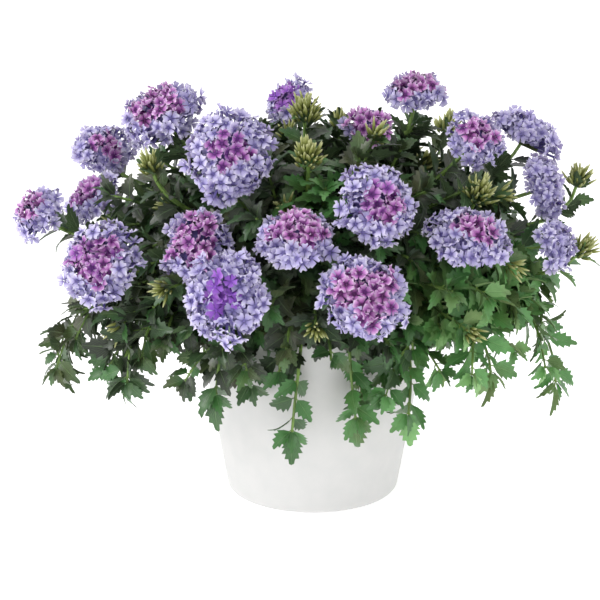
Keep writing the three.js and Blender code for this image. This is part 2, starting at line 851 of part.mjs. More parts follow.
// The soil fills the pot, with a hole for the crown's foot and one for each trailing stem.
function soilShape() {
  const { top, gap, floorGap, rings, sides, lump, roll, levelEdge } = SOIL;
  const shape = turned(
    [
      [0, POT.floor + floorGap],
      [innerRadius(POT.floor) - gap, POT.floor + floorGap],
      [innerRadius(top) - gap, top],
      ...[...rings].reverse().map((radius) => [radius, top]),
      [0, top],
    ],
    sides,
  );
  const places = shape.getAttribute("position");
  for (let i = 0; i < places.count; i++) {
    const [x, y, z] = [places.getX(i), places.getY(i), places.getZ(i)];
    const inside = Math.hypot(x, y) < innerRadius(top) - levelEdge;
    const height = lump * Math.sin(roll.x * x + roll.shift) * Math.cos(roll.y * y);
    if (z > top - 1 && inside) places.setZ(i, z + height);
  }
  const [footHeight, footRadius] = CROWN.outline[0];
  const [nextHeight, nextRadius] = CROWN.outline[1];
  const footHole = column(
    crownRing(footRadius + STEM.holeGap, footHeight - STEM.holeGap),
    crownRing(nextRadius + STEM.holeGap, nextHeight),
  );
  return [footHole, ...stemHoles].reduce((soil, hole) => soil.subtract(hole), solidOf(shape));
}
const soilSolid = soilShape();
addNode("potting_soil", geometryOf(soilSolid), MATERIALS.soil);

// The crown carries every shoot: one to each head, those that end in buds and those over the rim.
const around = [...fixed, asObstacle(soilSolid), ...trailingSolids.map(asObstacle)];

function budShape() {
  const skin = new Skin();
  const { radius, spike, core } = BUD;
  const top = domeRing(skin, radius, core, BUD.top, BUD.around);
  const rim = domeRing(skin, radius, core, BUD.rim, 2 * BUD.around);
  [top, ...cellsBetween(top, rim)].forEach((cell) => {
    const tip = skin.add(mean(cell.map((i) => skin.points[i])).multiplyScalar(spike / core));
    cell.forEach((from, i) => skin.face(from, cell[(i + 1) % cell.length], tip));
  });
  addDish(skin, rim, -radius, false);
  return skin;
}

const grown = [
  solidOf(crownShape(around)),
  ...shoots.map((shoot) => solidOf(leafyStem(shoot, around))),
  ...budPlaces.map(({ place }) => solidOf(budShape().placed(place).geometry())),
];
const joined = grown.reduce((whole, piece) => whole.add(piece));
const crown = largestBody(joined.simplify(CROWN.joined));
addNode("crown_and_flowering_shoots", geometryOf(crown), MATERIALS.leaf);

export default verbena;
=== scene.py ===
# %% [markdown]
# # A potted verbena
# A bushy garden verbena in a plain white pot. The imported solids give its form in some 18,000
# triangles: the pot, the potting mix, a leafy crown with its flowering shoots, 24 flower heads and
# 11 trailing stems. This notebook dresses them. Each solid is replaced by finer pieces that keep its
# place: every floret gets five notched petals, and every shoot gets its toothed leaves.

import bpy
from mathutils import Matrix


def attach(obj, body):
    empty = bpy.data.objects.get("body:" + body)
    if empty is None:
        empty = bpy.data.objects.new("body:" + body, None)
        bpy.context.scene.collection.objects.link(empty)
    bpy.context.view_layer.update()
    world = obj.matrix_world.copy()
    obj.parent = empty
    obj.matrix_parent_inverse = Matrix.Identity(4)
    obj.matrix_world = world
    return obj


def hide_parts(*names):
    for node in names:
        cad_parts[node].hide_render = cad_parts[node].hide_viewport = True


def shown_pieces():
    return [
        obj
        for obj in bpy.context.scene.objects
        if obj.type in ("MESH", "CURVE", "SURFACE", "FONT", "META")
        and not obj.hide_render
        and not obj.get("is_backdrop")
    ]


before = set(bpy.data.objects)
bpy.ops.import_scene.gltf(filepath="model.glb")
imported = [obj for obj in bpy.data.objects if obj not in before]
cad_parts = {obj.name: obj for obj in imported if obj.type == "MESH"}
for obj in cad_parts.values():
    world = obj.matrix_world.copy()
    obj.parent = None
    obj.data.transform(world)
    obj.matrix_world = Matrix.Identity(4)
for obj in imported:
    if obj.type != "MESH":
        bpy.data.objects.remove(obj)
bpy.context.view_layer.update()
print("nodes in the frame:", len(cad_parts))

# %% [markdown]
# ## Units and chance
# A plant is easier to think of in millimetres, so every size below is in millimetres, and meshes
# are turned to metres in the one function that makes them. Plants are irregular, so many places
# are drawn by chance, always from one seeded source: the same plant grows on every run.

# %% Units and chance
import math
import random

import bmesh
import bpy
import numpy as np
from mathutils import Matrix, Vector
from mathutils.geometry import interpolate_bezier

MM = 0.001
UP = Vector((0, 0, 1))
GOLDEN_ANGLE = math.pi * (3 - math.sqrt(5))
SEED = 31
chance = random.Random(SEED)


def polar(radius, bearing, height):
    """The point at that radius and bearing, in degrees from +X, and height."""
    turn = math.radians(bearing)
    return Vector((radius * math.cos(turn), radius * math.sin(turn), height))


def turned(across, other, turn):
    """The direction at that turn, in radians, from across towards other."""
    return across * math.cos(turn) + other * math.sin(turn)


# %% [markdown]
# ## Camera
# The pot's foot shows as an ellipse about three times as wide as it is high, and its sides lean a
# little inwards going down. That is a long lens about a metre and a half away, some 15 degrees above
# level, so perspective is gentle and the whole plant is in view.

# %% Camera
AIM = Vector((-9.3, 0, 140))
CAMERA_DISTANCE = 1500
CAMERA_ELEVATION = math.radians(15)
LENS = 125.9
SENSOR_WIDTH = 36

camera_data = bpy.data.cameras.new("studio_camera")
camera_data.sensor_width = SENSOR_WIDTH
camera_data.lens = LENS
camera = bpy.data.objects.new("studio_camera", camera_data)
bpy.context.scene.collection.objects.link(camera)
towards_camera = Vector((0, -math.cos(CAMERA_ELEVATION), math.sin(CAMERA_ELEVATION)))
camera.location = (AIM + CAMERA_DISTANCE * towards_camera) * MM
camera.rotation_euler = (math.pi / 2 - CAMERA_ELEVATION, 0, 0)
bpy.context.scene.camera = camera
print("camera at", [round(place, 3) for place in camera.location])

# %% [markdown]
# ## Colours and nodes
# Colours are easiest to pick and compare as sRGB hex values, but shader nodes work in linear light,
# so one function converts them all. A small function gives a node its inputs: a value is set, and a
# socket, or the first output of another node, is linked. That keeps a material one list of steps.

# %% Colours and nodes
def linear(hex_colour):
    """An sRGB hex colour as linear RGBA."""
    channels = [int(hex_colour[i:i + 2], 16) / 255 for i in (1, 3, 5)]
    return [c / 12.92 if c <= 0.04045 else ((c + 0.055) / 1.055) ** 2.4 for c in channels] + [1.0]


def set_inputs(tree, node, inputs):
    """Sets a node's inputs to values, or links them to sockets or to the first outputs of nodes."""
    for name, value in inputs.items():
        if isinstance(value, bpy.types.Node):
            value = value.outputs[0]
        if isinstance(value, bpy.types.NodeSocket):
            tree.links.new(value, node.inputs[name])
        else:
            node.inputs[name].default_value = value


def add_node(tree, kind, inputs=None, stops=(), **settings):
    """Adds a shader node with its settings, its inputs and, for a ramp, its stops."""
    node = tree.nodes.new("ShaderNode" + kind)
    for name, value in settings.items():
        setattr(node, name, value)
    set_inputs(tree, node, inputs or {})
    for number, (position, hex_colour) in enumerate(stops):
        if number > 1:
            node.color_ramp.elements.new(position)
        node.color_ramp.elements[number].position = position
        node.color_ramp.elements[number].color = linear(hex_colour)
    return node


def start_material(name, inputs):
    """A new material with its node tree and its Principled shader, which gets those inputs."""
    material = bpy.data.materials.new(name)
    material.use_nodes = True
    tree = material.node_tree
    shader = tree.nodes["Principled BSDF"]
    set_inputs(tree, shader, inputs)
    return material, tree, shader


# The Mix node has a set of sockets for each kind of data: these are the colour ones.
MIX_A = 6
MIX_B = 7
MIX_RESULT = 2

# %% [markdown]
# ## White floor and soft light
# The plant stands on plain white, lit from all round like a shot in a light tent, with one large
# soft light high on the left that models the petals. The floor is wide enough to fill the view.
# The standard view transform keeps white at white and the petals' colours as they were picked.

# %% White floor and soft light
FLOOR_HALF = 9000
PAPER_GLOW = 0.4
SKY_STRENGTH = 1.0
KEY_PLACE = Vector((-2050, -650, 1700))
KEY_SIZE = 1300
KEY_POWER = 34

floor_bm = bmesh.new()
bmesh.ops.create_grid(floor_bm, x_segments=1, y_segments=1, size=FLOOR_HALF * MM)
floor_mesh = bpy.data.meshes.new("studio_floor")
floor_bm.to_mesh(floor_mesh)
floor_bm.free()
floor = bpy.data.objects.new("studio_floor", floor_mesh)
bpy.context.scene.collection.objects.link(floor)
# Matte white paper that glows a little, so that it stays white under the plant.
paper, tree, shader = start_material("matte_paper_backdrop", {
    "Roughness": 0.9, "Base Color": linear("#FBFBFB"),
    "Emission Color": linear("#FFFFFF"), "Emission Strength": PAPER_GLOW})
floor_mesh.materials.append(paper)
floor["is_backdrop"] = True

world = bpy.data.worlds.new("light_tent")
world.use_nodes = True
tent = world.node_tree.nodes["Background"]
set_inputs(world.node_tree, tent, {"Color": linear("#FFFFFF"), "Strength": SKY_STRENGTH})
bpy.context.scene.world = world

key_data = bpy.data.lights.new("soft_key", "AREA")
key_data.size = KEY_SIZE * MM
key_data.energy = KEY_POWER
key = bpy.data.objects.new("soft_key", key_data)
key.location = KEY_PLACE * MM
key.rotation_euler = (KEY_PLACE - AIM).to_track_quat("Z", "Y").to_euler()
bpy.context.scene.collection.objects.link(key)
bpy.context.scene.view_settings.view_transform = "Standard"
print("floor, light tent and key light are set")

# %% [markdown]
# ## How copies are placed
# The plant has about 1,800 florets and 6,400 leaves. Each kind is modelled once or a few times with
# bmesh operators, as one unit shape. Then a pile collects copies: for each it keeps a matrix that
# turns, sizes and places the shape, and a tone from 0 to 1 that its material turns into a lighter or
# darker colour. The pile writes all its copies as one mesh, because an export keeps meshes and drops
# instances. Arrays do that in a moment where joining objects would take minutes.

# %% Unit shapes and piles
SOFT_EDGE = math.radians(65)


def unit_shape(bm):
    """A finished bmesh as arrays."""
    mesh = bpy.data.meshes.new("unit")
    bm.to_mesh(mesh)
    bm.free()
    shape = shape_of(mesh)
    bpy.data.meshes.remove(mesh)
    return shape


def values_of(items, name, width=1, kind=int):
    """That value of every item, as one array."""
    values = np.zeros(len(items) * width, dtype=kind)
    items.foreach_get(name, values)
    return values


def shape_of(mesh, material=None):
    """A mesh as arrays: points, corners, where faces start, materials, UVs. A given material goes to all."""
    materials = values_of(mesh.polygons, "material_index")
    if material is not None:
        materials[:] = material
    uvs = np.zeros(len(mesh.loops) * 2)
    if mesh.uv_layers:
        uvs = values_of(mesh.uv_layers[0].uv, "vector", 2, float)
    return {"points": values_of(mesh.vertices, "co", 3, float).reshape(-1, 3),
            "corners": values_of(mesh.loops, "vertex_index"),
            "starts": values_of(mesh.polygons, "loop_start"),
            "materials": materials, "uvs": uvs.reshape(-1, 2)}


class Pile:
    """Collects placed copies of unit shapes and stems, in millimetres, to make one piece of them."""

    def __init__(self):
        self.copies = []
        self.stems = []

    def add(self, shape, matrix=Matrix(), tone=0.5):
        self.copies.append((shape, np.array(matrix), tone))

    def make(self, name, materials, sharp_angle):
        """The piece: an object at the origin with its place in its mesh, in metres."""
        groups = []
        point_count = 0
        corner_count = 0
        for shape, matrix, tone in self.copies:
            points = shape["points"] @ matrix[:3, :3].T + matrix[:3, 3]
            groups.append((points, shape["corners"] + point_count, shape["starts"] + corner_count,
                           shape["materials"], shape["uvs"], np.full(len(points), tone)))
            point_count += len(points)
            corner_count += len(shape["corners"])
        points, corners, starts, numbers, uvs, tones = [np.concatenate(arrays) for arrays in zip(*groups)]
        mesh = bpy.data.meshes.new(name)
        mesh.vertices.add(point_count)
        mesh.vertices.foreach_set("co", (points * MM).ravel())
        mesh.loops.add(corner_count)
        mesh.loops.foreach_set("vertex_index", corners)
        mesh.polygons.add(len(starts))
        mesh.polygons.foreach_set("loop_start", starts)
        mesh.polygons.foreach_set("material_index", numbers)
        mesh.update(calc_edges=True)
        mesh.uv_layers.new(name="UVMap").uv.foreach_set("vector", uvs.ravel())
        mesh.attributes.new("tone", "FLOAT", "POINT").data.foreach_set("value", tones)
        for material in materials:
            mesh.materials.append(material)
        mesh.shade_smooth()
        mesh.set_sharp_from_angle(angle=sharp_angle)
        piece = bpy.data.objects.new(name, mesh)
        bpy.context.scene.collection.objects.link(piece)
        return piece


def triangles_in(piece):
    """How many triangles a piece has."""
    piece.data.calc_loop_triangles()
    return len(piece.data.loop_triangles)


def dress(pile, name, materials, node, sharp_angle=SOFT_EDGE):
    """Makes the pile a piece that stands for that node, and says how many triangles it has."""
    piece = pile.make(name, materials, sharp_angle)
    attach(piece, "root")
    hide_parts(node)
    return triangles_in(piece)


def placed(origin, along, facing, scale):
    """The matrix that sets a shape at origin with its +Y along and its +Z facing that way."""
    y = along.normalized()
    z = (facing - facing.dot(y) * y).normalized()
    x = y.cross(z)
    turn = Matrix((x, y, z)).transposed().to_4x4()
    return Matrix.Translation(origin) @ turn @ Matrix.Diagonal((*scale, 1))


# %% [markdown]
# ## The pot
# A plain tapered pot of slip-cast ceramic with a satin white glaze, 168 mm across its rim. It is a
# body of revolution, so its outline is spun round the axis. The outline is drawn with sharp corners,
# and the rim and the foot are rounded afterwards by bevelling those edge rings, as a potter sponges
# them before firing. That way each radius stays one number.

# %% The pot's material
def mottled_material(name, inputs, size, shades, strength, depth, detail=2.0):
    """A finish whose colour and relief follow one cloudy noise, its size and depth in millimetres."""
    material, tree, shader = start_material(name, inputs)
    place = add_node(tree, "TexCoord")
    cloud = add_node(tree, "TexNoise", {
        "Vector": place.outputs["Object"], "Scale": 1 / (size * MM), "Detail": detail})
    tint = add_node(tree, "ValToRGB", {"Fac": cloud}, shades)
    relief = add_node(tree, "Bump", {"Height": cloud, "Strength": strength, "Distance": depth * MM})
    set_inputs(tree, shader, {"Base Color": tint, "Normal": relief})
    return material


# Satin glaze over white clay: soft broad highlights, a slightly uneven surface, and a faint warm tint.
glaze = mottled_material(
    "satin_glazed_ceramic", {"Roughness": 0.42, "IOR": 1.5}, size=14,
    shades=[(0.3, "#D4D4D3"), (0.7, "#D9D8D7")], strength=0.25, depth=0.6)

# %% The pot
BASE_RADIUS = 61
RIM_RADIUS = 84
POT_HEIGHT = 130
WALL = 4
POT_FLOOR = 6
FOOT_ROUND = 5
RIM_ROUND = 1.9
POT_STEPS = 128
POT_SHARP = math.radians(40)
RING_TOLERANCE = 1e-3
SAME_PLACE = 1e-4


def pot_radius(height):
    """The outer radius of the pot's straight side at that height."""
    return BASE_RADIUS + (RIM_RADIUS - BASE_RADIUS) * height / POT_HEIGHT


def edge_ring(bm, height, radius):
    """The edges that run round the body at that height and radius."""
    def on_ring(vertex):
        off = max(abs(vertex.co.z - height), abs(vertex.co.xy.length - radius))
        return off < RING_TOLERANCE
    return [edge for edge in bm.edges if all(on_ring(vertex) for vertex in edge.verts)]


def spun_body(outline):
    """A body of revolution from an outline of (radius, height) that starts and ends on the axis."""
    bm = bmesh.new()
    profile = [bm.verts.new((radius, 0, height)) for radius, height in outline]
    edges = [bm.edges.new(pair) for pair in zip(profile, profile[1:])]
    bmesh.ops.spin(bm, geom=profile + edges, cent=(0, 0, 0), axis=(0, 0, 1), dvec=(0, 0, 0),
                   angle=2 * math.pi, steps=POT_STEPS, use_merge=True, use_duplicate=False)
    bmesh.ops.remove_doubles(bm, verts=bm.verts, dist=SAME_PLACE)
    bmesh.ops.recalc_face_normals(bm, faces=bm.faces)
    return bm


pot_bm = spun_body([
    (0, 0), (BASE_RADIUS, 0), (RIM_RADIUS, POT_HEIGHT), (RIM_RADIUS - WALL, POT_HEIGHT),
    (pot_radius(POT_FLOOR) - WALL, POT_FLOOR), (0, POT_FLOOR),
])
# Each corner that is rounded: its height and radius, how far it is rounded and in how many segments.
ROUNDED = [
    (0, BASE_RADIUS, FOOT_ROUND, 5), (POT_HEIGHT, RIM_RADIUS, RIM_ROUND, 4),
    (POT_HEIGHT, RIM_RADIUS - WALL, RIM_ROUND, 4),
]
for height, radius, rounding, segments in ROUNDED:
    bmesh.ops.bevel(pot_bm, geom=edge_ring(pot_bm, height, radius), offset=rounding, offset_type="OFFSET",
                    affect="EDGES", segments=segments, profile=0.5, material=-1)
pot = Pile()
pot.add(unit_shape(pot_bm))
print("pot:", dress(pot, "white_pot", [glaze], "pot", POT_SHARP), "triangles")

# %% [markdown]
# ## The potting mix
# Bark and peat fill the pot to a finger's width below its rim. Hardly any of it shows under the
# leaves, but from above it must not be a smooth lid: the top rolls a little, and it is strewn with
# bark chips and white grains of perlite. One chip is a small block with its corners bevelled, and
# chance gives each copy its own size and turn.

# %% The potting mix's materials
# Damp composted peat: nearly black brown, matte, crumbly at about 3 mm.
peat = mottled_material(
    "composted_peat", {"Roughness": 0.95}, size=3, shades=[(0.35, "#1E150F"), (0.7, "#4A3626")],
    strength=0.9, depth=1.2, detail=6.0)

# Pine bark and expanded perlite: the tone of each grain picks brown bark or a chalky white grain.
BARK_FIBRE = 1.5
bark, tree, shader = start_material("pine_bark_and_perlite", {"Roughness": 0.85})
place = add_node(tree, "TexCoord")
tone = add_node(tree, "Attribute", attribute_name="tone")
kinds = add_node(
    tree, "ValToRGB", {"Fac": tone.outputs["Fac"]}, [(0.0, "#2A1B12"), (0.8, "#6B4A30"), (0.9, "#D9D5CB")])
fibre = add_node(tree, "TexNoise", {"Vector": place.outputs["Object"], "Scale": 1 / (BARK_FIBRE * MM)})
shaded = add_node(tree, "Mix", {"Factor": 0.45, MIX_A: kinds, MIX_B: fibre.outputs["Color"]},
                  data_type="RGBA", blend_type="SOFT_LIGHT")
rough = add_node(tree, "Bump", {"Height": fibre, "Strength": 0.6, "Distance": 0.5 * MM})
set_inputs(tree, shader, {"Base Color": shaded.outputs[MIX_RESULT], "Normal": rough})

# %% The potting mix
SOIL_TOP = 117
SOIL_GAP = 0.3
SOIL_LUMP = 1.8
SOIL_ROLL = (0.11, 0.13)
SOIL_ROLL_START = 0.6
SOIL_RINGS = 10


def soil_height(x, y):
    """The height of the potting mix at that place: long low waves."""
    across, along = SOIL_ROLL
    return SOIL_TOP + SOIL_LUMP * math.sin(across * x + SOIL_ROLL_START) * math.cos(along * y)


foot_radius = pot_radius(POT_FLOOR) - WALL - SOIL_GAP
soil_radius = pot_radius(SOIL_TOP) - WALL - SOIL_GAP
soil_outline = [(0, POT_FLOOR + SOIL_GAP), (foot_radius, POT_FLOOR + SOIL_GAP)]
soil_outline += [(soil_radius * (1 - ring / SOIL_RINGS), SOIL_TOP) for ring in range(SOIL_RINGS + 1)]
soil_bm = spun_body(soil_outline)
for vertex in soil_bm.verts:
    if vertex.co.z > SOIL_TOP - 1:
        vertex.co.z = soil_height(vertex.co.x, vertex.co.y)
soil = Pile()
soil.add(unit_shape(soil_bm))
print("potting mix:", dress(soil, "potting_mix", [peat], "potting_soil"), "triangles")

# %% Bark and perlite
GRAINS = 420
GRAIN_MARGIN = 4
GRAIN_SEAT = 0.4
GRAIN_TILT = 0.3
GRAIN_SLOPE = 0.2
GRAIN_SHARP = math.radians(25)
CHIP_CORNER = 0.28
PERLITE_SHARE = 0.16
PERLITE_SIZES = (1.8, 3.2)
PERLITE_TONE = 0.95
BARK_TONES = (0, 0.8)
BARK_SIZES = [(4, 11), (2.5, 5), (1.2, 2.4)]

chip_bm = bmesh.new()
bmesh.ops.create_cube(chip_bm, size=1)
bmesh.ops.bevel(chip_bm, geom=chip_bm.verts[:], offset=CHIP_CORNER, offset_type="OFFSET",
                affect="VERTICES", segments=1, profile=0.5, material=-1)
chip = unit_shape(chip_bm)
grains = Pile()
for number in range(GRAINS):
    reach = (soil_radius - GRAIN_MARGIN) * math.sqrt(chance.random())
    spot = polar(reach, math.degrees(number * GOLDEN_ANGLE), 0)
    spot.z = soil_height(spot.x, spot.y) + GRAIN_SEAT
    is_perlite = chance.random() < PERLITE_SHARE
    size = Vector((chance.uniform(*PERLITE_SIZES),) * 3)
    if not is_perlite:
        size = Vector([chance.uniform(*sizes) for sizes in BARK_SIZES])
    lie = Vector([chance.uniform(-most, most) for most in (1, 1, GRAIN_SLOPE)])
    up = Vector([chance.uniform(-GRAIN_TILT, GRAIN_TILT) for axis in "xy"] + [1])
    tone = PERLITE_TONE if is_perlite else chance.uniform(*BARK_TONES)
    grains.add(chip, placed(spot, lie, up, size), tone)
print("bark and perlite:", dress(grains, "bark_and_perlite", [bark], "potting_soil", GRAIN_SHARP),
      "triangles")

# %% [markdown]
# ## Thin closed blades
# Leaves and petals are thin, but they are not sheets: an export or a 3D print needs a closed shape.
# A grid gives the upper face, with UVs that run across and along it. Its copy, turned over and
# lowered inside its rim, is the lower face, and merging the two rims closes the blade like a lens.

# %% Thin closed blades
def blade_grid(across, along):
    """A flat grid from -1 to 1 across X and 0 to 1 along Y, with UVs."""
    bm = bmesh.new()
    bm.loops.layers.uv.new("UVMap")
    bmesh.ops.create_grid(bm, x_segments=across, y_segments=along, size=0.5, calc_uvs=True)
    for vertex in bm.verts:
        vertex.co = (vertex.co.x * 2, vertex.co.y + 0.5, 0)
    return bm


def close_blade(bm, thickness, under_material):
    """Backs the blade with a lowered copy of itself that meets it along the rim."""
    copied = bmesh.ops.duplicate(bm, geom=bm.verts[:] + bm.edges[:] + bm.faces[:])["geom"]
    under_faces = [item for item in copied if isinstance(item, bmesh.types.BMFace)]
    inner = [item for item in copied if isinstance(item, bmesh.types.BMVert) and not item.is_boundary]
    bmesh.ops.translate(bm, verts=inner, vec=(0, 0, -thickness))
    bmesh.ops.reverse_faces(bm, faces=under_faces)
    for face in under_faces:
        face.material_index = under_material
    bmesh.ops.remove_doubles(bm, verts=bm.verts, dist=SAME_PLACE)


# %% [markdown]
# ## Petals
# A floret is a narrow tube that opens into five flat petals, each with a notch in its edge, most of
# them 9 to 13 mm across. The old florets round the rim of a head have faded to lavender, and those
# in the middle are younger, still pink, and deeper or purple on some heads. The colours run along the
# petal, so the material reads the petal's own UV map: V goes from the throat to the edge, and fine
# veins follow it. Towards the throat the colour darkens to violet, partly its own and partly painted
# shade, and towards the edge it pales, partly its own and partly painted highlight. The tone of each
# copy mixes in a second colour.

# %% Petal materials
VEINS_ACROSS = 9
VEINS_ALONG = 1.2


def petal_material(name, shaded_throat_to_lit_edge, tone_shades, tone_share):
    """Living petal tissue: matte, a little translucent, veined from the throat to the edge."""
    material, tree, shader = start_material(name, {
        "Roughness": 0.55, "Specular IOR Level": 0.25, "Subsurface Weight": 0.18,
        "Subsurface Radius": (1.0, 0.7, 1.0), "Subsurface Scale": 1.2 * MM})
    uv = add_node(tree, "UVMap", uv_map="UVMap")
    axes = add_node(tree, "SeparateXYZ", {"Vector": uv})
    along = add_node(tree, "ValToRGB", {"Fac": axes.outputs["Y"]}, shaded_throat_to_lit_edge)
    tone = add_node(tree, "Attribute", attribute_name="tone")
    shade = add_node(tree, "ValToRGB", {"Fac": tone.outputs["Fac"]}, tone_shades)
    share = add_node(tree, "Math", {0: tone.outputs["Fac"], 1: tone_share}, operation="MULTIPLY")
    toned = add_node(tree, "Mix", {"Factor": share, MIX_A: along, MIX_B: shade}, data_type="RGBA")
    stretch = add_node(tree, "Mapping", {"Vector": uv, "Scale": (VEINS_ACROSS, VEINS_ALONG, 1)})
    streak = add_node(tree, "TexNoise", {"Vector": stretch, "Scale": 1.0, "Detail": 1.0})
    veined = add_node(tree, "Mix", {"Factor": 0.35, MIX_A: toned.outputs[MIX_RESULT], MIX_B: streak},
                      data_type="RGBA", blend_type="SOFT_LIGHT")
    relief = add_node(tree, "Bump", {"Height": streak, "Strength": 0.4, "Distance": 0.15 * MM})
    set_inputs(tree, shader, {"Base Color": veined.outputs[MIX_RESULT], "Normal": relief})
    return material


# Faded petals: thin matte tissue that lets some light through, lavender, darkened to violet at the
# throat partly as painted shade and paled at the edge partly as painted highlight. The tone mixes in a
# dusky violet, at random, and most on sunk florets as painted shade.
lavender_petal = petal_material(
    "lavender_petal_tissue",
    [(0.0, "#2B2160"), (0.16, "#6A609E"), (0.38, "#AEA5D2"), (0.75, "#D8D1EE"), (1.0, "#F7F4FE")],
    [(0.0, "#938BC4"), (1.0, "#8B82BC")], 0.5)
# Young petals: the same tissue, still pink, darkened at the throat partly as painted shade and
# paled at the edge partly as painted highlight, with hues from violet to purple mixed in by tone.
pink_petal = petal_material(
    "pink_petal_tissue",
    [(0.0, "#2A0A2E"), (0.2, "#66286A"), (0.46, "#B06CB0"), (0.8, "#DEB4E0"), (1.0, "#FAECFB")],
    [(0.3, "#5E2488"), (0.65, "#8752BE")], 0.9)

# Calyx tubes: short-haired green sepals round the foot of each floret, matte and olive in patches.
calyx_skin = mottled_material(
    "hairy_green_calyx", {"Roughness": 0.7}, size=2.5, shades=[(0.3, "#333F1E"), (0.7, "#6C7840")],
    strength=0.5, depth=0.3)

# %% [markdown]
# ## One floret
# One petal is shaped from a grid of two by three faces: narrow at the throat, broad and notched at
# the edge. It is closed, spun round the tube to make five, and then bent: a cup that lifts or lets
# down the edges, and a ripple that keeps neighbours from lying alike. Five such florets, three flat
# and two half open, turned and sized by chance, are enough for a whole plant. The stalk below is a
# tube in a calyx, one unit long, so that each copy can reach from its floret down to the middle of
# the head.

# %% One floret
PETAL = 0
CALYX = 1
PETALS = 5
PETAL_REACHES = [0.11, 0.42, 0.78, 1.0]
PETAL_HALVES = [0.07, 0.26, 0.45, 0.27]
NOTCH = 0.13
PETAL_THICKNESS = 0.035
RIPPLES = 7


def floret_shape(cup, ripple, phase):
    """A floret of radius 1 that faces +Z."""
    rows = len(PETAL_REACHES) - 1
    bm = blade_grid(2, rows)
    for vertex in bm.verts:
        side = vertex.co.x
        row = round(vertex.co.y * rows)
        pulled = NOTCH if row == rows and side == 0 else 0
        vertex.co = (side * PETAL_HALVES[row], PETAL_REACHES[row] - pulled, 0)
    close_blade(bm, PETAL_THICKNESS, PETAL)
    bmesh.ops.spin(bm, geom=bm.verts[:] + bm.edges[:] + bm.faces[:], cent=(0, 0, 0), axis=(0, 0, 1),
                   dvec=(0, 0, 0), angle=2 * math.pi * (PETALS - 1) / PETALS, steps=PETALS - 1,
                   use_merge=False, use_duplicate=True)
    for vertex in bm.verts:
        reach = vertex.co.xy.length
        bearing = math.atan2(vertex.co.y, vertex.co.x)
        vertex.co.z += cup * reach ** 2 + ripple * reach ** 2 * math.sin(RIPPLES * bearing + phase)
    bmesh.ops.recalc_face_normals(bm, faces=bm.faces)
    return unit_shape(bm)


# The cup of each kind of floret, its ripple, and where the ripple starts.
FLAT = [(0.08, 0.20, 0.4), (-0.18, 0.24, 1.9), (0.28, 0.18, 3.3)]
HALF_OPEN = [(0.38, 0.16, 0.9), (0.5, 0.14, 2.4)]
flat_florets = [floret_shape(*bends) for bends in FLAT]
half_open_florets = [floret_shape(*bends) for bends in HALF_OPEN]
print("a floret has", len(flat_florets[0]["starts"]), "faces")

# %% A floret's stalk
TUBE_SIDES = 5
# The petal tube takes a dark violet from near the throat: painted shade.
TUBE_SHADE_UV = (0.5, 0.13)
# The petal tube and the calyx: where each starts and ends, its radius there, and its material.
STALK_PARTS = [(-0.62, 0.0, 0.75, 1.0, PETAL), (-1.0, -0.5, 0.7, 1.45, CALYX)]


def stalk_shape():
    """A floret's tube in its calyx, from -1 to 0 along Z, with its width in millimetres."""
    bm = bmesh.new()
    uv = bm.loops.layers.uv.new("UVMap")
    for low, high, wide_low, wide_high, material in STALK_PARTS:
        made = bmesh.ops.create_cone(
            bm, cap_ends=True, segments=TUBE_SIDES, radius1=wide_low, radius2=wide_high, depth=high - low,
            matrix=Matrix.Translation((0, 0, (low + high) / 2)))
        for face in {face for vertex in made["verts"] for face in vertex.link_faces}:
            face.material_index = material
            for loop in face.loops:
                loop[uv].uv = TUBE_SHADE_UV
    return unit_shape(bm)


stalk = stalk_shape()
print("its stalk has", len(stalk["starts"]), "faces")

# %% Material numbers of the green pieces
# The upper side of a leaf keeps number 0.
UNDER = 1
STEM = 2
BUD = 3

# %% [markdown]
# ## Closed buds
# A bud is a slender pointed egg. Clusters of them end the seven budding shoots and some of those in
# the mound. The bud's colour runs along it too: olive at the foot, pale at the tip.

# %% Closed buds
# Young bud: smooth waxy sepals, yellow green, paler towards the tip where the petals push out.
BUD_FOOT = 1.15
BUD_TAPER = 0.55
bud_skin, tree, shader = start_material("waxy_olive_bud", {"Roughness": 0.5})
uv = add_node(tree, "UVMap", uv_map="UVMap")
axes = add_node(tree, "SeparateXYZ", {"Vector": uv})
tint = add_node(
    tree, "ValToRGB", {"Fac": axes.outputs["Y"]}, [(0.1, "#454E22"), (0.55, "#888F4A"), (0.95, "#D2D49E")])
set_inputs(tree, shader, {"Base Color": tint})

bud_bm = bmesh.new()
bud_bm.loops.layers.uv.new("UVMap")
bmesh.ops.create_uvsphere(bud_bm, u_segments=5, v_segments=4, radius=1, calc_uvs=True)
for vertex in bud_bm.verts:
    height = (vertex.co.z + 1) / 2
    vertex.co.xy *= BUD_FOOT - BUD_TAPER * height
    vertex.co.z = height
for face in bud_bm.faces:
    face.material_index = BUD
bud = unit_shape(bud_bm)
print("a bud has", len(bud["starts"]), "faces")

# %% [markdown]
# ## The flower heads
# Verbena florets open from the rim of a flattened dome inwards. On each head they are set out along
# a spiral by the golden angle, which spaces them evenly on a dome, as in many real flower heads. Each
# one faces out from the dome, tipped and sunk a little by chance, so the edges look frilly and the
# gaps between them go dark. The middle ones belong to the pink piece, the rest to the lavender one.

# %% Where the heads are
DOME_RISE = 0.64
DOME_SKIRT = math.radians(97)
FULL_HEAD = 33
FLORETS_PER_SQUARE = 106 / FULL_HEAD ** 2
LEAST_FLORETS = 6
FLORET_RADIUS = 5.8
SMALL_HEAD_FLORET = 0.76
SIZE_SPREAD = (0.85, 1.15)
FLORET_TIPPED = 28
FLORET_TURNED = 60
STALK_MEET = 0.1
STALK_DROP = 0.3

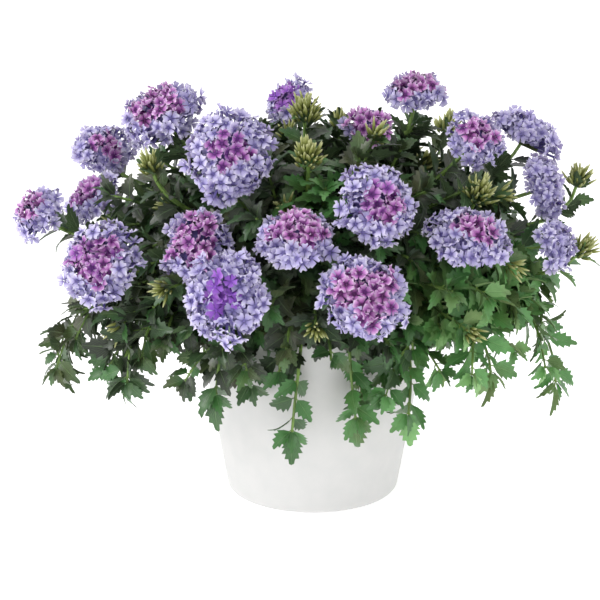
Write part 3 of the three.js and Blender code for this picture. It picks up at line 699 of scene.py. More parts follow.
# Each head: x, y and z of the middle of its dome, its radius, how far it leans up from level and the
# bearing it faces, in degrees, the angle from its top that the pink florets reach, and how purple they are.
HEADS = [
    (-105, 12, 270, 30, 50, -128, 46, 0.05),
    (-56, -78, 260, 32, 24, -88, 28, 0.35),
    (-16, 60, 272, 19, 42, -118, 44, 0.7),
    (72, 22, 284, 23, 76, -80, 56, 0.05),
    (37, -16, 268, 16, 46, -92, 80, 0.1),
    (110, -32, 262, 22, 42, -66, 40, 0.1),
    (153, 48, 249, 28, 60, 10, 0, 0),
    (159, -6, 222, 24, 22, -18, 0, 0),
    (40, -112, 234, 28, 24, -80, 33, 0.3),
    (102, -94, 205, 29, 62, -62, 35, 0.1),
    (-12, -118, 211, 28, 72, -92, 54, 0.05),
    (32, -146, 180, 30, 36, -84, 48, 0.05),
    (-56, -144, 180, 31, 24, -98, 25, 1.0),
    (-77, -90, 200, 26, 34, -108, 50, 0.1),
    (-143, -76, 185, 30, 30, -112, 43, 0.3),
    (-191, -16, 206, 22, 42, -146, 42, 0.1),
    (-157, 24, 207, 23, 50, -150, 48, 0.3),
    (-152, 52, 239, 22, 40, -80, 34, 0.1),
    (165, -46, 191, 19, 16, -30, 0, 0),
    (-104, 104, 180, 30, 34, 136, 42, 0.2),
    (-28, 140, 172, 32, 30, 100, 46, 0.1),
    (120, 110, 184, 28, 32, 46, 0, 0),
    (-64, 78, 232, 27, 58, 122, 40, 0.3),
    (42, 98, 224, 28, 54, 76, 48, 0.1),
]


def head_frame(x, y, z, lean, facing):
    """The middle of a head, the way it faces and two directions across it."""
    lean = math.radians(lean)
    facing = math.radians(facing)
    axis = Vector((math.cos(lean) * math.cos(facing), math.cos(lean) * math.sin(facing), math.sin(lean)))
    across = axis.orthogonal().normalized()
    return Vector((x, y, z)), axis, across, axis.cross(across)


def tipped(direction, most):
    """The direction tipped by a chance angle of up to about that many degrees."""
    wander = Vector([chance.gauss(0, 1) for axis in "xyz"])
    return (direction + wander * math.radians(most) / 2).normalized()


def add_floret(pile, head, radius, depth, polar_angle, bearing, size, shapes, tone):
    """One floret with its stalk on a head's dome, at that share of the dome's radius."""
    middle, axis, across, other = head
    outwards = turned(across, other, bearing)
    out = math.sin(polar_angle)
    up = math.cos(polar_angle)
    seat = middle + radius * depth * (outwards * out + axis * up * DOME_RISE)
    facing = tipped(outwards * out + axis * up / DOME_RISE, FLORET_TIPPED)
    spin = tipped(outwards.cross(facing) + axis * chance.uniform(-1, 1), FLORET_TURNED)
    width = size * chance.uniform(*SIZE_SPREAD)
    pile.add(chance.choice(shapes), placed(seat, spin, facing, (width,) * 3), tone)
    foot = middle + axis * radius * (STALK_MEET - STALK_DROP * polar_angle / DOME_SKIRT)
    stalk_along = seat - foot
    pile.add(stalk, placed(seat, stalk_along.orthogonal(), stalk_along, (1, 1, stalk_along.length)), tone)


# %% The cushion inside a head
CORE_SHARE = 0.6
CORE_FLOOR = -0.15
# The cushion takes the petal's dark violet from near the throat: painted shade between the florets.
CORE_SHADE_UV = (0.5, 0.08)
core_bm = bmesh.new()
core_uv = core_bm.loops.layers.uv.new("UVMap")
bmesh.ops.create_icosphere(core_bm, subdivisions=3, radius=1)
bmesh.ops.bisect_plane(core_bm, geom=core_bm.verts[:] + core_bm.edges[:] + core_bm.faces[:],
                       plane_co=(0, 0, CORE_FLOOR), plane_no=(0, 0, -1), clear_outer=True)
bmesh.ops.holes_fill(core_bm, edges=core_bm.edges)
for face in core_bm.faces:
    face.material_index = PETAL
    for loop in face.loops:
        loop[core_uv].uv = CORE_SHADE_UV
core = unit_shape(core_bm)


def add_core(pile, head, radius):
    """The cushion of crowded tubes that the open florets stand on, dark violet: partly their own tint, partly
    painted shade.
    """
    middle, axis, across, other = head
    size = radius * CORE_SHARE
    pile.add(core, placed(middle, across, axis, (size, size, size * DOME_RISE)))


# %% The flower heads
SUNK = 0.88
DEEP_SHARE = 0.3
DEEP_SUNK = 0.74
SUNK_SPREAD = (-0.08, 0.07)
# How far a head's outline swells, and how many times round it. The last wave is the pink middle's.
SWELLS = [(0.07, 2), (0.05, 5), (0.15, 3)]
PINK_SPREAD = 0.14
PURPLE_SPREAD = 0.2
HALF_OPEN_FROM = 0.6
PINK_SIZE = 1.04
YOUNGEST_SMALLER = 0.12
PALER_POWER = 1.6

head_triangles = 0
for number, (x, y, z, radius, lean, facing, pink_reach, purple) in enumerate(HEADS, start=1):
    head = head_frame(x, y, z, lean, facing)
    florets = round(FLORETS_PER_SQUARE * radius ** 2) + LEAST_FLORETS
    size = FLORET_RADIUS * (SMALL_HEAD_FLORET + (1 - SMALL_HEAD_FLORET) * radius / FULL_HEAD)
    starts = [chance.uniform(0, 2 * math.pi) for swell in SWELLS]
    outer = Pile()
    inner = Pile()
    add_core(outer, head, radius)
    for step in range(florets):
        share = (step + 0.5) / florets
        polar_angle = math.acos(1 - (1 - math.cos(DOME_SKIRT)) * share)
        bearing = step * GOLDEN_ANGLE
        waves = [rise * math.sin(times * bearing + start) for (rise, times), start in zip(SWELLS, starts)]
        deep = chance.random() < DEEP_SHARE
        swell = (waves[0] + waves[1]) * math.sin(polar_angle)
        depth = (DEEP_SUNK if deep else SUNK) + swell + chance.uniform(*SUNK_SPREAD)
        pink_edge = pink_reach * (1 + waves[2] + chance.uniform(-PINK_SPREAD, PINK_SPREAD))
        if math.degrees(polar_angle) < pink_edge:
            fresh = 1 - math.degrees(polar_angle) / pink_edge
            shapes = half_open_florets if fresh > HALF_OPEN_FROM else flat_florets
            tone = min(1, max(0, purple + chance.uniform(-PURPLE_SPREAD, PURPLE_SPREAD)))
            pink_size = size * (PINK_SIZE - YOUNGEST_SMALLER * fresh)
            add_floret(inner, head, radius, depth, polar_angle, bearing, pink_size, shapes, tone)
        else:
            # A sunk lavender floret gets the dusky violet at its strongest: painted shade.
            tone = 1 if deep else chance.uniform(0, 1) ** PALER_POWER
            add_floret(outer, head, radius, depth, polar_angle, bearing, size, flat_florets, tone)
    name = f"flower_head_{number:02d}"
    head_triangles += dress(outer, f"{name}_lavender_florets", [lavender_petal, calyx_skin],
                            f"{name}_outer_florets")
    if pink_reach:
        head_triangles += dress(inner, f"{name}_pink_florets", [pink_petal, calyx_skin],
                                f"{name}_inner_florets")
print("flower heads:", len(HEADS), "with", head_triangles, "triangles")

# %% [markdown]
# ## Leaves and stems
# Verbena leaves are small ovals with coarse teeth, wrinkled between their veins, dark and slightly
# glossy above and paler below. They sit in pairs on square stems, each pair at right angles to the
# one before. Leaves near the tips are fresh green, old ones inside the mound nearly black green,
# partly from age and partly as painted shade, and some are painted lighter as painted light.
# The vein pattern follows the leaf's UV map: one midrib, and side veins that lean towards the tip.

# %% Leaf and stem materials
SIDE_VEINS = 6
VEIN_LEAN = 1.5
SIDE_VEIN_WIDTH = 0.022
MIDRIB_WIDTH = 0.05
WRINKLE = 7
OLIVE_REGION = 38
OLIVE_FROM = 0.5
OLIVE_FULL = 0.68
OLIVE_SHARE = 0.42


def leaf_material(name, inputs, dark_to_light, vein_colour, vein_share):
    """Leaf tissue: coloured by its tone, mottled, olive in places, with a midrib and side veins."""
    material, tree, shader = start_material(name, inputs)
    uv = add_node(tree, "UVMap", uv_map="UVMap")
    axes = add_node(tree, "SeparateXYZ", {"Vector": uv})
    from_rib = add_node(tree, "Math", {0: axes, 1: 0.5}, operation="SUBTRACT")
    out = add_node(tree, "Math", {0: from_rib}, operation="ABSOLUTE")
    lean = add_node(tree, "Math", {0: out, 1: -VEIN_LEAN, 2: axes.outputs["Y"]}, operation="MULTIPLY_ADD")
    wave = add_node(tree, "Math", {0: lean, 1: 0.5 / SIDE_VEINS}, operation="PINGPONG")
    side_vein = add_node(
        tree, "MapRange", {"Value": wave, "From Max": SIDE_VEIN_WIDTH, "To Min": 1.0, "To Max": 0.0},
        interpolation_type="SMOOTHSTEP")
    midrib = add_node(
        tree, "MapRange", {"Value": out, "From Max": MIDRIB_WIDTH, "To Min": 1.0, "To Max": 0.0},
        interpolation_type="SMOOTHSTEP")
    veins = add_node(tree, "Math", {0: side_vein, 1: midrib}, operation="MAXIMUM")
    tone = add_node(tree, "Attribute", attribute_name="tone")
    green = add_node(tree, "ValToRGB", {"Fac": tone.outputs["Fac"]}, dark_to_light)
    place = add_node(tree, "TexCoord")
    blotch = add_node(tree, "TexNoise", {
        "Vector": place.outputs["Object"], "Scale": 1 / (WRINKLE * MM), "Detail": 3.0})
    mottled = add_node(tree, "Mix", {"Factor": 0.5, MIX_A: green, MIX_B: blotch},
                       data_type="RGBA", blend_type="SOFT_LIGHT")
    region = add_node(tree, "TexNoise", {"Vector": place.outputs["Object"], "Scale": 1 / (OLIVE_REGION * MM)})
    aged = add_node(tree, "MapRange", {"Value": region, "From Min": OLIVE_FROM, "From Max": OLIVE_FULL,
                                       "To Max": OLIVE_SHARE}, interpolation_type="SMOOTHSTEP")
    hued = add_node(tree, "Mix", {"Factor": aged, MIX_A: mottled.outputs[MIX_RESULT],
                                  MIX_B: linear("#565423")}, data_type="RGBA")
    shown = add_node(tree, "Math", {0: veins, 1: vein_share}, operation="MULTIPLY")
    veined = add_node(tree, "Mix", {"Factor": shown, MIX_A: hued.outputs[MIX_RESULT],
                                    MIX_B: linear(vein_colour)}, data_type="RGBA")
    sunk = add_node(tree, "Math", {0: veins, 1: -1.0, 2: blotch}, operation="MULTIPLY_ADD")
    relief = add_node(tree, "Bump", {"Height": sunk, "Strength": 0.7, "Distance": 0.5 * MM})
    set_inputs(tree, shader, {"Base Color": veined.outputs[MIX_RESULT], "Normal": relief})
    return material


# Upper skin: wrinkled and slightly glossy, dark with lighter veins.
leaf_top = leaf_material(
    "verbena_leaf_upper_skin", {"Roughness": 0.4, "Coat Weight": 0.3, "Coat Roughness": 0.3},
    [(0.0, "#1D221C"), (0.3, "#2E382A"), (0.6, "#3D7535"), (0.85, "#5E9C52"), (1.0, "#90C078")],
    "#8FB573", 0.28)
# Lower skin: paler and quite matte, with its veins more marked.
leaf_under = leaf_material(
    "verbena_leaf_lower_skin", {"Roughness": 0.8},
    [(0.0, "#303829"), (0.5, "#4F6E40"), (1.0, "#8CAC6C")],
    "#A9BF8C", 0.4)

# Young square stem: smooth green skin, browner and duller low down where it turns woody.
STEM_BLOTCH = 9
stem_skin, tree, shader = start_material("green_stem_skin", {"Roughness": 0.6})
place = add_node(tree, "TexCoord")
tone = add_node(tree, "Attribute", attribute_name="tone")
blotch = add_node(tree, "TexNoise", {"Vector": place.outputs["Object"], "Scale": 1 / (STEM_BLOTCH * MM)})
ripeness = add_node(tree, "Math", {0: tone.outputs["Fac"], 1: 0.75, 2: blotch}, operation="MULTIPLY_ADD")
tint = add_node(
    tree, "ValToRGB", {"Fac": ripeness}, [(0.3, "#33301C"), (0.65, "#40592A"), (1.0, "#7A9A4A")])
set_inputs(tree, shader, {"Base Color": tint})

# %% [markdown]
# ## One leaf
# The leaf starts as the same closed blade, two faces wide and ten long. The rows take turns to stand
# out as a tooth or draw in as a notch, under a curve that is broadest below the middle. Then the
# blade is folded along its midrib and bent: some leaves stay level, some droop, some curl at the tip.
# A three-sided petiole joins it to the stem. Six such leaves are the stock that chance draws from.

# %% One leaf
LEAF_ROWS = 10
LEAF_HALF_WIDTH = 0.245
LEAF_BELLY = 0.74
TOOTH_OUT = 0.2
TOOTH_FORWARD = 0.035
PETIOLE = 0.13
PETIOLE_RADIUS = 0.022
PETIOLE_OVERLAP = 1.1
MIDRIB = 0.025
# Each leaf: how steeply its halves fold up, how far it droops, curls at the tip and sways aside.
LEAF_BENDS = [
    (0.30, 0.02, 0.05, 0.00), (0.42, 0.10, 0.08, 0.05), (0.18, 0.18, 0.02, -0.05),
    (0.34, 0.26, 0.14, 0.04), (0.10, 0.08, 0.20, -0.06), (0.50, 0.04, 0.12, 0.02),
]


def leaf_shape(fold, droop, curl, sway):
    """A leaf one unit long that leaves the stem along +Y and faces +Z."""
    bm = blade_grid(2, LEAF_ROWS)
    for vertex in bm.verts:
        side = vertex.co.x
        share = vertex.co.y
        tooth = 1 if round(share * LEAF_ROWS) % 2 else -1
        breadth = math.sin(math.pi * share ** LEAF_BELLY) if 0 < share < 1 else 0
        half = LEAF_HALF_WIDTH * breadth * (1 + TOOTH_OUT * tooth) + PETIOLE_RADIUS * (1 - share)
        forward = TOOTH_FORWARD * tooth * abs(side) if 0 < share < 1 else 0
        vertex.co = (side * half, PETIOLE + (1 - PETIOLE) * share + forward, 0)
    bmesh.ops.remove_doubles(bm, verts=bm.verts, dist=SAME_PLACE)
    close_blade(bm, MIDRIB, UNDER)
    petiole_place = Matrix.Translation((0, PETIOLE * 0.5, -MIDRIB / 2))
    petiole = bmesh.ops.create_cone(
        bm, cap_ends=True, segments=3, radius1=PETIOLE_RADIUS, radius2=PETIOLE_RADIUS,
        depth=PETIOLE * PETIOLE_OVERLAP, matrix=petiole_place @ Matrix.Rotation(-math.pi / 2, 4, "X"))
    for face in {face for vertex in petiole["verts"] for face in vertex.link_faces}:
        face.material_index = STEM
    for vertex in bm.verts:
        side = vertex.co.x
        share = vertex.co.y
        vertex.co.z += fold * abs(side) - droop * share ** 2 - curl * share ** 5
        vertex.co.x += sway * share ** 2
    return unit_shape(bm)


leaves = [leaf_shape(*bends) for bends in LEAF_BENDS]
print("a leaf has", len(leaves[0]["starts"]), "faces")

# %% [markdown]
# ## Where a leaf may be, and how green it is
# A leaf looks for light: its face turns up and away from the middle of the plant, whatever way its
# stem runs. A leaf that would stand in front of a flower head is left out, as the head would have
# pushed it aside, and so is one in the gap at the front where the pot shows. Old leaves inside the
# mound are dark, partly from age and partly as painted shade. Leaves that hang out in the light,
# most of all on the right, and those on the lower right are painted lighter: painted light. Those in
# one tuft near the front top are lighter too.

# %% Where a leaf may be, and how green it is
HEART = Vector((0, 0, 120))
LIGHT_LIFT = 0.35
BEHIND_HEAD = 0.3
AHEAD_OF_HEAD = 2.2
ASIDE_OF_HEAD = 0.93
FRONT_GAP = (-1, 23)
FRONT_GAP_LOW = 88
# One tuft near the front top whose leaves are lighter, and the distances at which that fades out and is full.
LIGHTER_TUFT = Vector((1, -80, 240))
LIGHTER_TUFT_EDGE = (30, 14)
# Where the lit stand on the lower right begins and is full, along X, Y and Z, and where leaves hang,
# along Z and X. Leaves there are painted lighter: painted light.
LIT_STAND = [(48, 88), (50, 0), (208, 182)]
HANGING_LOW = (132, 100)
HANGING_RIGHT = (-50, 0)
HANGING_LEFT_SHARE = 0.35
# Tones for old leaves, for tips, for the lit stand and the tuft, and for hanging leaves; the stand and
# hanging leaves are lighter as painted light.
OLD_TONE = 0.15
TIP_TONE = 0.15
LIGHTER_PATCH_TONE = 0.5
HANGING_LIT_TONE = 0.28
TONE_SPREAD = (-0.13, 0.2)
head_frames = [(head_frame(x, y, z, lean, facing), radius) for x, y, z, radius, lean, facing, *_ in HEADS]


def light_at(point):
    """The way a leaf at that point faces."""
    return ((point - HEART).normalized() + UP * LIGHT_LIFT).normalized()


def hides_a_head(point):
    """Whether something at that point stands in a flower head or right in front of one."""
    for (middle, axis, across, other), radius in head_frames:
        gap = point - middle
        ahead = gap.dot(axis)
        aside = (gap - axis * ahead).length
        if -BEHIND_HEAD * radius < ahead < AHEAD_OF_HEAD * radius and aside < ASIDE_OF_HEAD * radius:
            return True
    return False


def in_front_gap(point):
    """Whether that point hangs in the gap where the front of the pot shows up to its rim."""
    return point.y < 0 and FRONT_GAP[0] < point.x < FRONT_GAP[1] and FRONT_GAP_LOW < point.z < POT_HEIGHT


def ramp(value, low, high):
    """Where the value lies between low and high, from 0 to 1."""
    return max(0, min(1, (value - low) / (high - low)))


def leaf_age_and_painted_light(point, freshness):
    """How light a leaf is: dark inside the mound, partly painted shade; fresher at the tips; lighter in one
    tuft; and lighter on the lower right and where it hangs, as painted light.
    """
    right, front, low = [ramp(value, *edges) for value, edges in zip(point, LIT_STAND)]
    lighter_patch = max(right * low * front, ramp((point - LIGHTER_TUFT).length, *LIGHTER_TUFT_EDGE))
    # Hanging leaves are lighter, more so on the right: painted light.
    lit = HANGING_LEFT_SHARE + (1 - HANGING_LEFT_SHARE) * ramp(point.x, *HANGING_RIGHT)
    hanging = ramp(point.z, *HANGING_LOW) * lit
    tone = OLD_TONE + TIP_TONE * freshness + LIGHTER_PATCH_TONE * lighter_patch + HANGING_LIT_TONE * hanging * (1 - lighter_patch)
    tone += chance.uniform(*TONE_SPREAD)
    return max(0, min(1, tone))


# %% [markdown]
# ## How a shoot grows
# A shoot is a curve. Its stem is a Blender curve with a square bevel, thinner towards the tip, turned
# into a mesh. Along it go the leaf pairs, and small leaves end it. The six kinds of shoots differ
# only in thickness and in where and how large their leaves are, so one function grows them all.

# %% Stems along curves
CURVE_POINTS = 15


def along_curve(points, share):
    """The point at that share of a curve, and the way the curve runs there."""
    place = share * (len(points) - 1)
    before = min(int(place), len(points) - 2)
    here = points[before].lerp(points[before + 1], place - before)
    return here, (points[before + 1] - points[before]).normalized()


def stems_shape(stems):
    """Square stems along curves, each as (points, radius at the root, radius at the tip)."""
    data = bpy.data.curves.new("stems", "CURVE")
    data.dimensions = "3D"
    data.bevel_depth = 1
    data.bevel_resolution = 0
    data.use_fill_caps = True
    for points, root_radius, tip_radius in stems:
        spline = data.splines.new("POLY")
        spline.points.add(len(points) - 1)
        for step, (target, point) in enumerate(zip(spline.points, points)):
            target.co = (*point, 1)
            target.radius = root_radius + (tip_radius - root_radius) * step / (len(points) - 1)
    carrier = bpy.data.objects.new("stems", data)
    mesh = bpy.data.meshes.new_from_object(carrier)
    shape = shape_of(mesh, material=STEM)
    bpy.data.objects.remove(carrier)
    bpy.data.curves.remove(data)
    bpy.data.meshes.remove(mesh)
    return shape


# %% Leaves along stems
LEAF_TIPPED = 40
EDGE_ON = 0.94
SEEN_SHARES = (0.5, 0.95)
LEAF_BREADTHS = (0.9, 1.12)
LEAF_FORWARD = math.radians(38)
FIRST_PAIR_TURNED = 3
PAIR_TURNED = 0.3
PAIR_TIPPED = 14
END_LEAVES = 4
END_START = 0.4
END_BACK = 2
END_TIPPED = 12
END_SPREADS = (0.85, 0.55)
END_SIZES = (1.0, 0.88)
END_FRESHNESS = 1.3
FOLIAGE = [leaf_top, leaf_under, stem_skin, bud_skin]
# The one solid that the leafy pieces stand for, apart from the trailing stems.
CROWN = "crown_and_flowering_shoots"
# Each kind of shoot: the radius of its stem at the root and the tip, the shares of its length between
# which its leaf pairs stand, the lengths of its first and last leaves, and of those at its end, if any.
FLOWERING_SHOOT = ((2.0, 1.3), (0.1, 0.88), (31, 23), 0)
BUDDING_SHOOT = ((2.0, 1.3), (0.1, 0.92), (31, 18), 19)
MOUND_SHOOT = ((1.7, 0.9), (0.3, 0.93), (28, 19), 17)
RIM_SHOOT = ((1.6, 0.9), (0.3, 0.93), (27, 21), 18)
TRAILING_STEM = ((2.0, 0.9), (0.24, 0.96), (26, 21), 19)
SIDE_SHOOT = ((1.2, 0.7), (0.4, 0.9), (24, 19), 17)


def add_leaf(pile, root, along, length, freshness):
    """One leaf from that root, turned to the light, unless it would hide a head or fill the front gap."""
    facing = tipped(light_at(root), LEAF_TIPPED)
    if abs(facing.dot(along)) > EDGE_ON:
        facing = UP
    for share in SEEN_SHARES:
        point = root + along * length * share
        if hides_a_head(point) or in_front_gap(point):
            return
    broad = length * chance.uniform(*LEAF_BREADTHS)
    pile.add(chance.choice(leaves), placed(root, along, facing, (broad, length, length)),
             leaf_age_and_painted_light(root + along * length, freshness))


def around_stem(points, share):
    """The point at that share of a curve, the way it runs, and a function for directions round it."""
    root, run = along_curve(points, share)
    across = run.orthogonal().normalized()
    return root, run, lambda turn: turned(across, run.cross(across), turn)


def grow_shoot(pile, points, pairs, kind, root=None):
    """One shoot along a curve: its leaf pairs, its end leaves and its stem, which starts at root if given."""
    radii, (first, last), (root_length, tip_length), end_length = kind
    stem_points = [root] + points if root else points
    pile.stems.append((stem_points, *radii))
    start_turn = chance.uniform(0, FIRST_PAIR_TURNED)
    steps = max(1, pairs - 1)
    for step in range(pairs):
        share = first + (last - first) * step / steps
        foot, run, side_at = around_stem(points, share)
        side = side_at(start_turn + step * math.pi / 2 + chance.uniform(-PAIR_TURNED, PAIR_TURNED))
        length = root_length + (tip_length - root_length) * step / steps
        for way in (1, -1):
            along = side * way * math.cos(LEAF_FORWARD) + run * math.sin(LEAF_FORWARD)
            add_leaf(pile, foot, tipped(along, PAIR_TIPPED), length * chance.uniform(*SIZE_SPREAD), share)
    if end_length:
        end, run, side_at = around_stem(points, 1.0)
        for step in range(END_LEAVES):
            along = run + side_at(step * math.pi / 2 + END_START) * END_SPREADS[step % 2]
            add_leaf(pile, end - run * END_BACK, tipped(along, END_TIPPED), end_length * END_SIZES[step % 2],
                     END_FRESHNESS)


def dress_shoots(pile, name, stem_tone, node=CROWN):
    """Gives the pile its stems, makes it a leafy piece, and says how many triangles that has."""
    pile.add(stems_shape(pile.stems), tone=stem_tone)
    return dress(pile, name, FOLIAGE, node)


# %% [markdown]
# ## Flowering and budding shoots
# Each head stands on a shoot that rises out of the crown and bends to face the way the head does.
# Seven more shoots end in a tight cluster of green buds. Their curves closely follow the packed
# solids' own, so the heads sit on them without any fitting.

# %% Flowering and budding shoots
SHOOT_FOOT_RADIUS = 58
SHOOT_FOOT_SHARE = 0.45
SHOOT_FOOT_LOW = 150
SHOOT_FOOT_RISE = 0.35
SHOOT_LEAD = 0.35
SHOOT_LEAD_RISE = 0.1
SHOOT_END_PULL = 0.34
HEAD_SEAT = 0.2
PAIR_STEP = 9.5
LEAST_PAIRS = 3
SHOOT_TONE = 0.6
# Each cluster of buds: x, y and z of its foot, its lean and bearing as for a head, and its size.
BUDS = [
    (-6, -24, 273, 80, -90, 1.0), (-4, -78, 254, 62, -90, 1.0), (110, -50, 223, 62, -60, 1.0),
    (190, 36, 215, 78, 10, 0.8), (184, -22, 178, 50, -15, 0.8), (-109, -48, 242, 70, -140, 0.7),
    (100, 100, 240, 60, 50, 1.0),
]
BUDS_IN_CLUSTER = 66
CLUSTER_HEIGHT = 13
CLUSTER_RISE = 0.85
CLUSTER_ROUND = 1.6
CLUSTER_WIDTH = 0.46
CLUSTER_SPREAD = 0.75
CLUSTER_SINK = 0.25
BUD_TIPPED = 20
BUD_LENGTH = 11
BUD_LENGTHS = (0.5, 1.2)
BUD_WIDTH = 1.2


def add_bud_cluster(pile, root, axis, size):
    """A cluster of upright and spreading buds round the end of a shoot."""
    across = axis.orthogonal().normalized()
    other = axis.cross(across)
    buds = round(BUDS_IN_CLUSTER * size ** 2)
    height = CLUSTER_HEIGHT * size
    for step in range(buds):
        share = (step + 0.5) / buds
        outwards = turned(across, other, step * GOLDEN_ANGLE)
        way = tipped(outwards * CLUSTER_SPREAD * share + axis * (1 - CLUSTER_SINK * share), BUD_TIPPED)
        up = axis * (1 - share ** CLUSTER_ROUND) * CLUSTER_RISE * height
        foot = root + outwards * CLUSTER_WIDTH * height * math.sqrt(share) + up
        length = BUD_LENGTH * chance.uniform(*BUD_LENGTHS)
        pile.add(bud, placed(foot, way.orthogonal(), way, (BUD_WIDTH, BUD_WIDTH, length)), 1)


def shoot_curve(end, axis):
    """The curve of a shoot from the crown to the foot of its head."""
    bearing = math.degrees(math.atan2(end.y, end.x))
    foot_radius = min(SHOOT_FOOT_RADIUS, SHOOT_FOOT_SHARE * end.xy.length)
    foot = polar(foot_radius, bearing, SHOOT_FOOT_LOW + SHOOT_FOOT_RISE * (end.z - SHOOT_FOOT_LOW))
    gap = (end - foot).length
    lifted = foot.lerp(end, SHOOT_LEAD) + UP * SHOOT_LEAD_RISE * gap
    return interpolate_bezier(foot, lifted, end - axis * SHOOT_END_PULL * gap, end, CURVE_POINTS)


def pairs_along(points, step=PAIR_STEP):
    """How many leaf pairs a shoot carries, one to each step of its reach."""
    return max(LEAST_PAIRS, round((points[-1] - points[0]).length / step))


shoots = Pile()
for (middle, axis, across, other), radius in head_frames:
    points = shoot_curve(middle - axis * HEAD_SEAT * radius, axis)
    grow_shoot(shoots, points, pairs_along(points), FLOWERING_SHOOT)
for x, y, z, lean, facing, size in BUDS:
    middle, axis, across, other = head_frame(x, y, z, lean, facing)
    points = shoot_curve(middle, axis)
    grow_shoot(shoots, points, pairs_along(points), BUDDING_SHOOT)
    add_bud_cluster(shoots, middle, axis, size)
print("flowering and budding shoots:", len(shoots.stems), "with", len(shoots.copies), "leaves and buds")

# %% [markdown]
# ## The leafy mound
# Between the flowering shoots the plant is full of leafy ones. Their tips lie a little below the
# flower heads: in each direction the canopy reaches as far as the heads near that direction do. A
# golden-angle spiral spreads the tips evenly over the whole mound, round the back as well. Three
# pieces share them, so that none grows too large.

# %% The leafy mound
FILL_SHOOTS = 176
FILL_LOWEST = math.radians(5)
FILL_ROOTS = (134, 158)
FILL_ROOT_RADII = (12, 52)
FILL_SHARES = (0.76, 0.97)
FILL_BACK_OFF = 0.94
FILL_SAG = (10, 30)
FILL_LEAD = 20
FILL_END = 25
FILL_STEP = 9.2
FILL_TONE = 0.4
CANOPY_BLUR = math.radians(24)
CANOPY_DEFAULT = 118
CANOPY_PULL = 0.35
BUDDING_EVERY = 6
SMALL_CLUSTER = 0.5
MOUNDS = 3
head_rays = [((middle - HEART).normalized(), (middle - HEART).length) for (middle, *_), radius in head_frames]


def canopy_reach(direction):
    """How far from the plant's heart the flower heads stand in that direction."""
    weights = [math.exp(-(direction.angle(ray) / CANOPY_BLUR) ** 2) for ray, reach in head_rays]
    weighed = sum(weight * reach for weight, (ray, reach) in zip(weights, head_rays))
    return (CANOPY_PULL * CANOPY_DEFAULT + weighed) / (CANOPY_PULL + sum(weights))


mounds = [Pile() for side in range(MOUNDS)]
for number in range(FILL_SHOOTS):
    share = (number + 0.5) / FILL_SHOOTS
    rise = math.asin(math.sin(FILL_LOWEST) + (1 - math.sin(FILL_LOWEST)) * share)
    bearing = math.degrees(number * GOLDEN_ANGLE)
    direction = polar(math.cos(rise), bearing, math.sin(rise))
    tip = HEART + direction * canopy_reach(direction) * chance.uniform(*FILL_SHARES)
    while hides_a_head(tip):
        tip = HEART.lerp(tip, FILL_BACK_OFF)
    root = polar(chance.uniform(*FILL_ROOT_RADII), bearing, chance.uniform(*FILL_ROOTS))
    sag = UP * chance.uniform(*FILL_SAG) * math.cos(rise)
    points = interpolate_bezier(root, root + UP * FILL_LEAD + direction * FILL_LEAD,
                                tip - direction * FILL_END + sag, tip, CURVE_POINTS)
    mound = mounds[number % MOUNDS]
    grow_shoot(mound, points, pairs_along(points, FILL_STEP), MOUND_SHOOT)
    if number % BUDDING_EVERY == 0:
        add_bud_cluster(mound, tip, (points[-1] - points[-2]).normalized(), SMALL_CLUSTER)
for number, mound in enumerate(mounds, start=1):
    name = f"leafy_mound_{number}"
    print(name, "has", dress_shoots(mound, name, FILL_TONE), "triangles")
name = "flowering_and_budding_shoots"
print(name, "has", dress_shoots(shoots, name, SHOOT_TONE), "triangles")

# %% [markdown]
# ## The skirt
# Short shoots lean over the rim between the trailing stems, so that the mound closes down onto the
# pot. The solids have eleven. Here each of them grows with two smaller ones beside it. In front, a
# little to the right of the middle, a gap stays open and the pot shows.

# %% The skirt
# Each shoot: its bearing, how far out its tip is, how low, and how much lower its neighbours hang.
RIM_SHOOTS = [
    (-157, 108, 140, 12), (-134, 104, 138, 24), (-110, 100, 140, 38), (-64, 100, 140, 42),
    (-45, 116, 140, 12), (-25, 150, 146, 0), (-2, 160, 148, 6), (23, 108, 138, 0), (67, 106, 138, 0),
    (116, 106, 138, 0), (166, 108, 140, 6),
]
# A shoot and its two neighbours: degrees aside, their reach, and their share of that drop.
TRIO = [(0, 1.0, 0), (-7, 0.94, 1), (7, 0.92, 0.7)]
RIM_BEARING_SPREAD = 2
RIM_ROOT = 60
RIM_ROOT_SHARE = 0.45
RIM_ROOT_RISE = 22
RIM_ARCH_SHARE = 0.72
RIM_ARCH_RISE = 30
RIM_BEND_RISE = 26
RIM_PAIR_STEP = 15
RIM_TONE = 0.5


def arching_curve(bearing, *places):
    """A curve in the upright plane at that bearing, from four control points as (radius, height)."""
    return interpolate_bezier(*[polar(radius, bearing, height) for radius, height in places], CURVE_POINTS)


skirt = Pile()
for bearing, reach, low, hang in RIM_SHOOTS:
    for turn, size, drop in TRIO:
        way = bearing + turn + chance.uniform(-RIM_BEARING_SPREAD, RIM_BEARING_SPREAD)
        out = reach * size
        points = arching_curve(
            way, (min(RIM_ROOT, RIM_ROOT_SHARE * out), low + RIM_ROOT_RISE),
            (RIM_ARCH_SHARE * out, low + RIM_ARCH_RISE), (out, low + RIM_BEND_RISE), (out, low - drop * hang))
        grow_shoot(skirt, points, round(reach / RIM_PAIR_STEP), RIM_SHOOT)
print("leafy_skirt has", dress_shoots(skirt, "leafy_skirt", RIM_TONE), "triangles")

# %% [markdown]
# ## Trailing stems
# Eleven long stems stand in the potting mix inside the rim, arch over it and hang down, with their
# leaves painted lighter where they hang out in the light: painted light. Each is one piece that
# stands for its own solid and follows the same curve. Short side shoots fill most of them out.

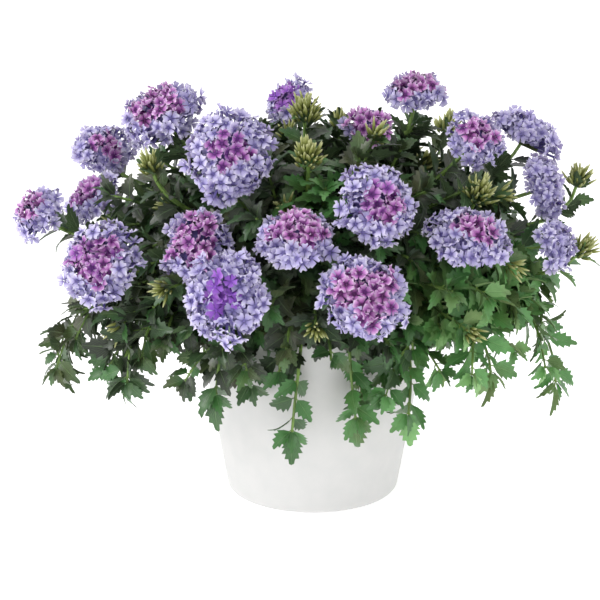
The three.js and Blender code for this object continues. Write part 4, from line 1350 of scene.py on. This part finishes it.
# %% Trailing stems
TRAILER_ROOT = 66
TRAILER_FOOT = 120
TRAILER_IN_SOIL = 14
TRAILER_LEAN = 3
TRAILER_SHOULDER = 8
TRAILER_LEAST_BEND = 100
TRAILER_TONE = 0.45
SWAY = 4
LAST_LEAF = 25
LAST_LEAF_TIPPED = 10
SIDE_LENGTH = 32
SIDE_LENGTHS = (0.8, 1.1)
SIDE_OUT = 0.75
SIDE_ALONG = 0.7
SIDE_DOWN = 0.3
SIDE_BEND = 8
SIDE_POINTS = 7
SIDE_PAIRS = 3
# Each stem: its bearing, how far out and how low its tip is, how high it arches, and how many pairs of
# leaves and side shoots it has.
TRAILERS = [
    (-168, 178, 104, 172, 13, 8), (-146, 154, 108, 164, 13, 8), (-122, 128, 104, 164, 10, 3),
    (-97, 100, 74, 166, 13, 0), (-74, 103, 84, 164, 12, 0), (-54, 112, 84, 164, 12, 2),
    (-35, 148, 112, 164, 11, 3), (-15, 176, 94, 168, 12, 5), (42, 160, 100, 164, 10, 3),
    (92, 142, 92, 166, 9, 2), (141, 160, 98, 164, 10, 3),
]
# Each side shoot, in the order in which a stem gets them: its share of the stem's length and its side.
SIDES = [(0.74, 1), (0.66, -1), (0.42, 1), (0.52, -1), (0.36, -1), (0.84, 1), (0.6, 1), (0.82, -1)]

for number, (bearing, reach, low, crest, pairs, side_shoots) in enumerate(TRAILERS, start=1):
    points = arching_curve(
        bearing, (TRAILER_ROOT, TRAILER_FOOT), (TRAILER_ROOT + TRAILER_LEAN, crest - TRAILER_SHOULDER),
        (max(TRAILER_LEAST_BEND, reach), crest), (reach, low))
    aside = polar(1, bearing + 90, 0)
    phase = chance.uniform(0, 2 * math.pi)
    for step, point in enumerate(points):
        share = step / (len(points) - 1)
        point += aside * SWAY * share * math.sin(2 * math.pi * share + phase)
    trailer = Pile()
    grow_shoot(trailer, points, pairs, TRAILING_STEM, root=points[0] - UP * TRAILER_IN_SOIL)
    add_leaf(trailer, points[-1], tipped(-UP, LAST_LEAF_TIPPED), LAST_LEAF, END_FRESHNESS)
    for share, way in SIDES[:side_shoots]:
        root, run = along_curve(points, share)
        sideways = run.cross(UP).normalized() * way
        towards = sideways * SIDE_OUT + run * SIDE_ALONG - UP * SIDE_DOWN
        tip = root + towards * SIDE_LENGTH * chance.uniform(*SIDE_LENGTHS)
        bend = root.lerp(tip, 0.5) + UP * SIDE_BEND
        side_points = interpolate_bezier(root, bend, bend, tip, SIDE_POINTS)
        grow_shoot(trailer, side_points, SIDE_PAIRS, SIDE_SHOOT)
    name = f"trailing_stem_{number:02d}"
    triangles = dress_shoots(trailer, f"{name}_with_leaves", TRAILER_TONE, name)
print("trailing stems:", len(TRAILERS), "the last with", triangles, "triangles")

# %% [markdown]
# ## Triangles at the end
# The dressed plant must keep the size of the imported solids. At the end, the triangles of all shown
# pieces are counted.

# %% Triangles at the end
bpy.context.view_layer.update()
print("triangles in all:", sum(triangles_in(piece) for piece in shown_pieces()))
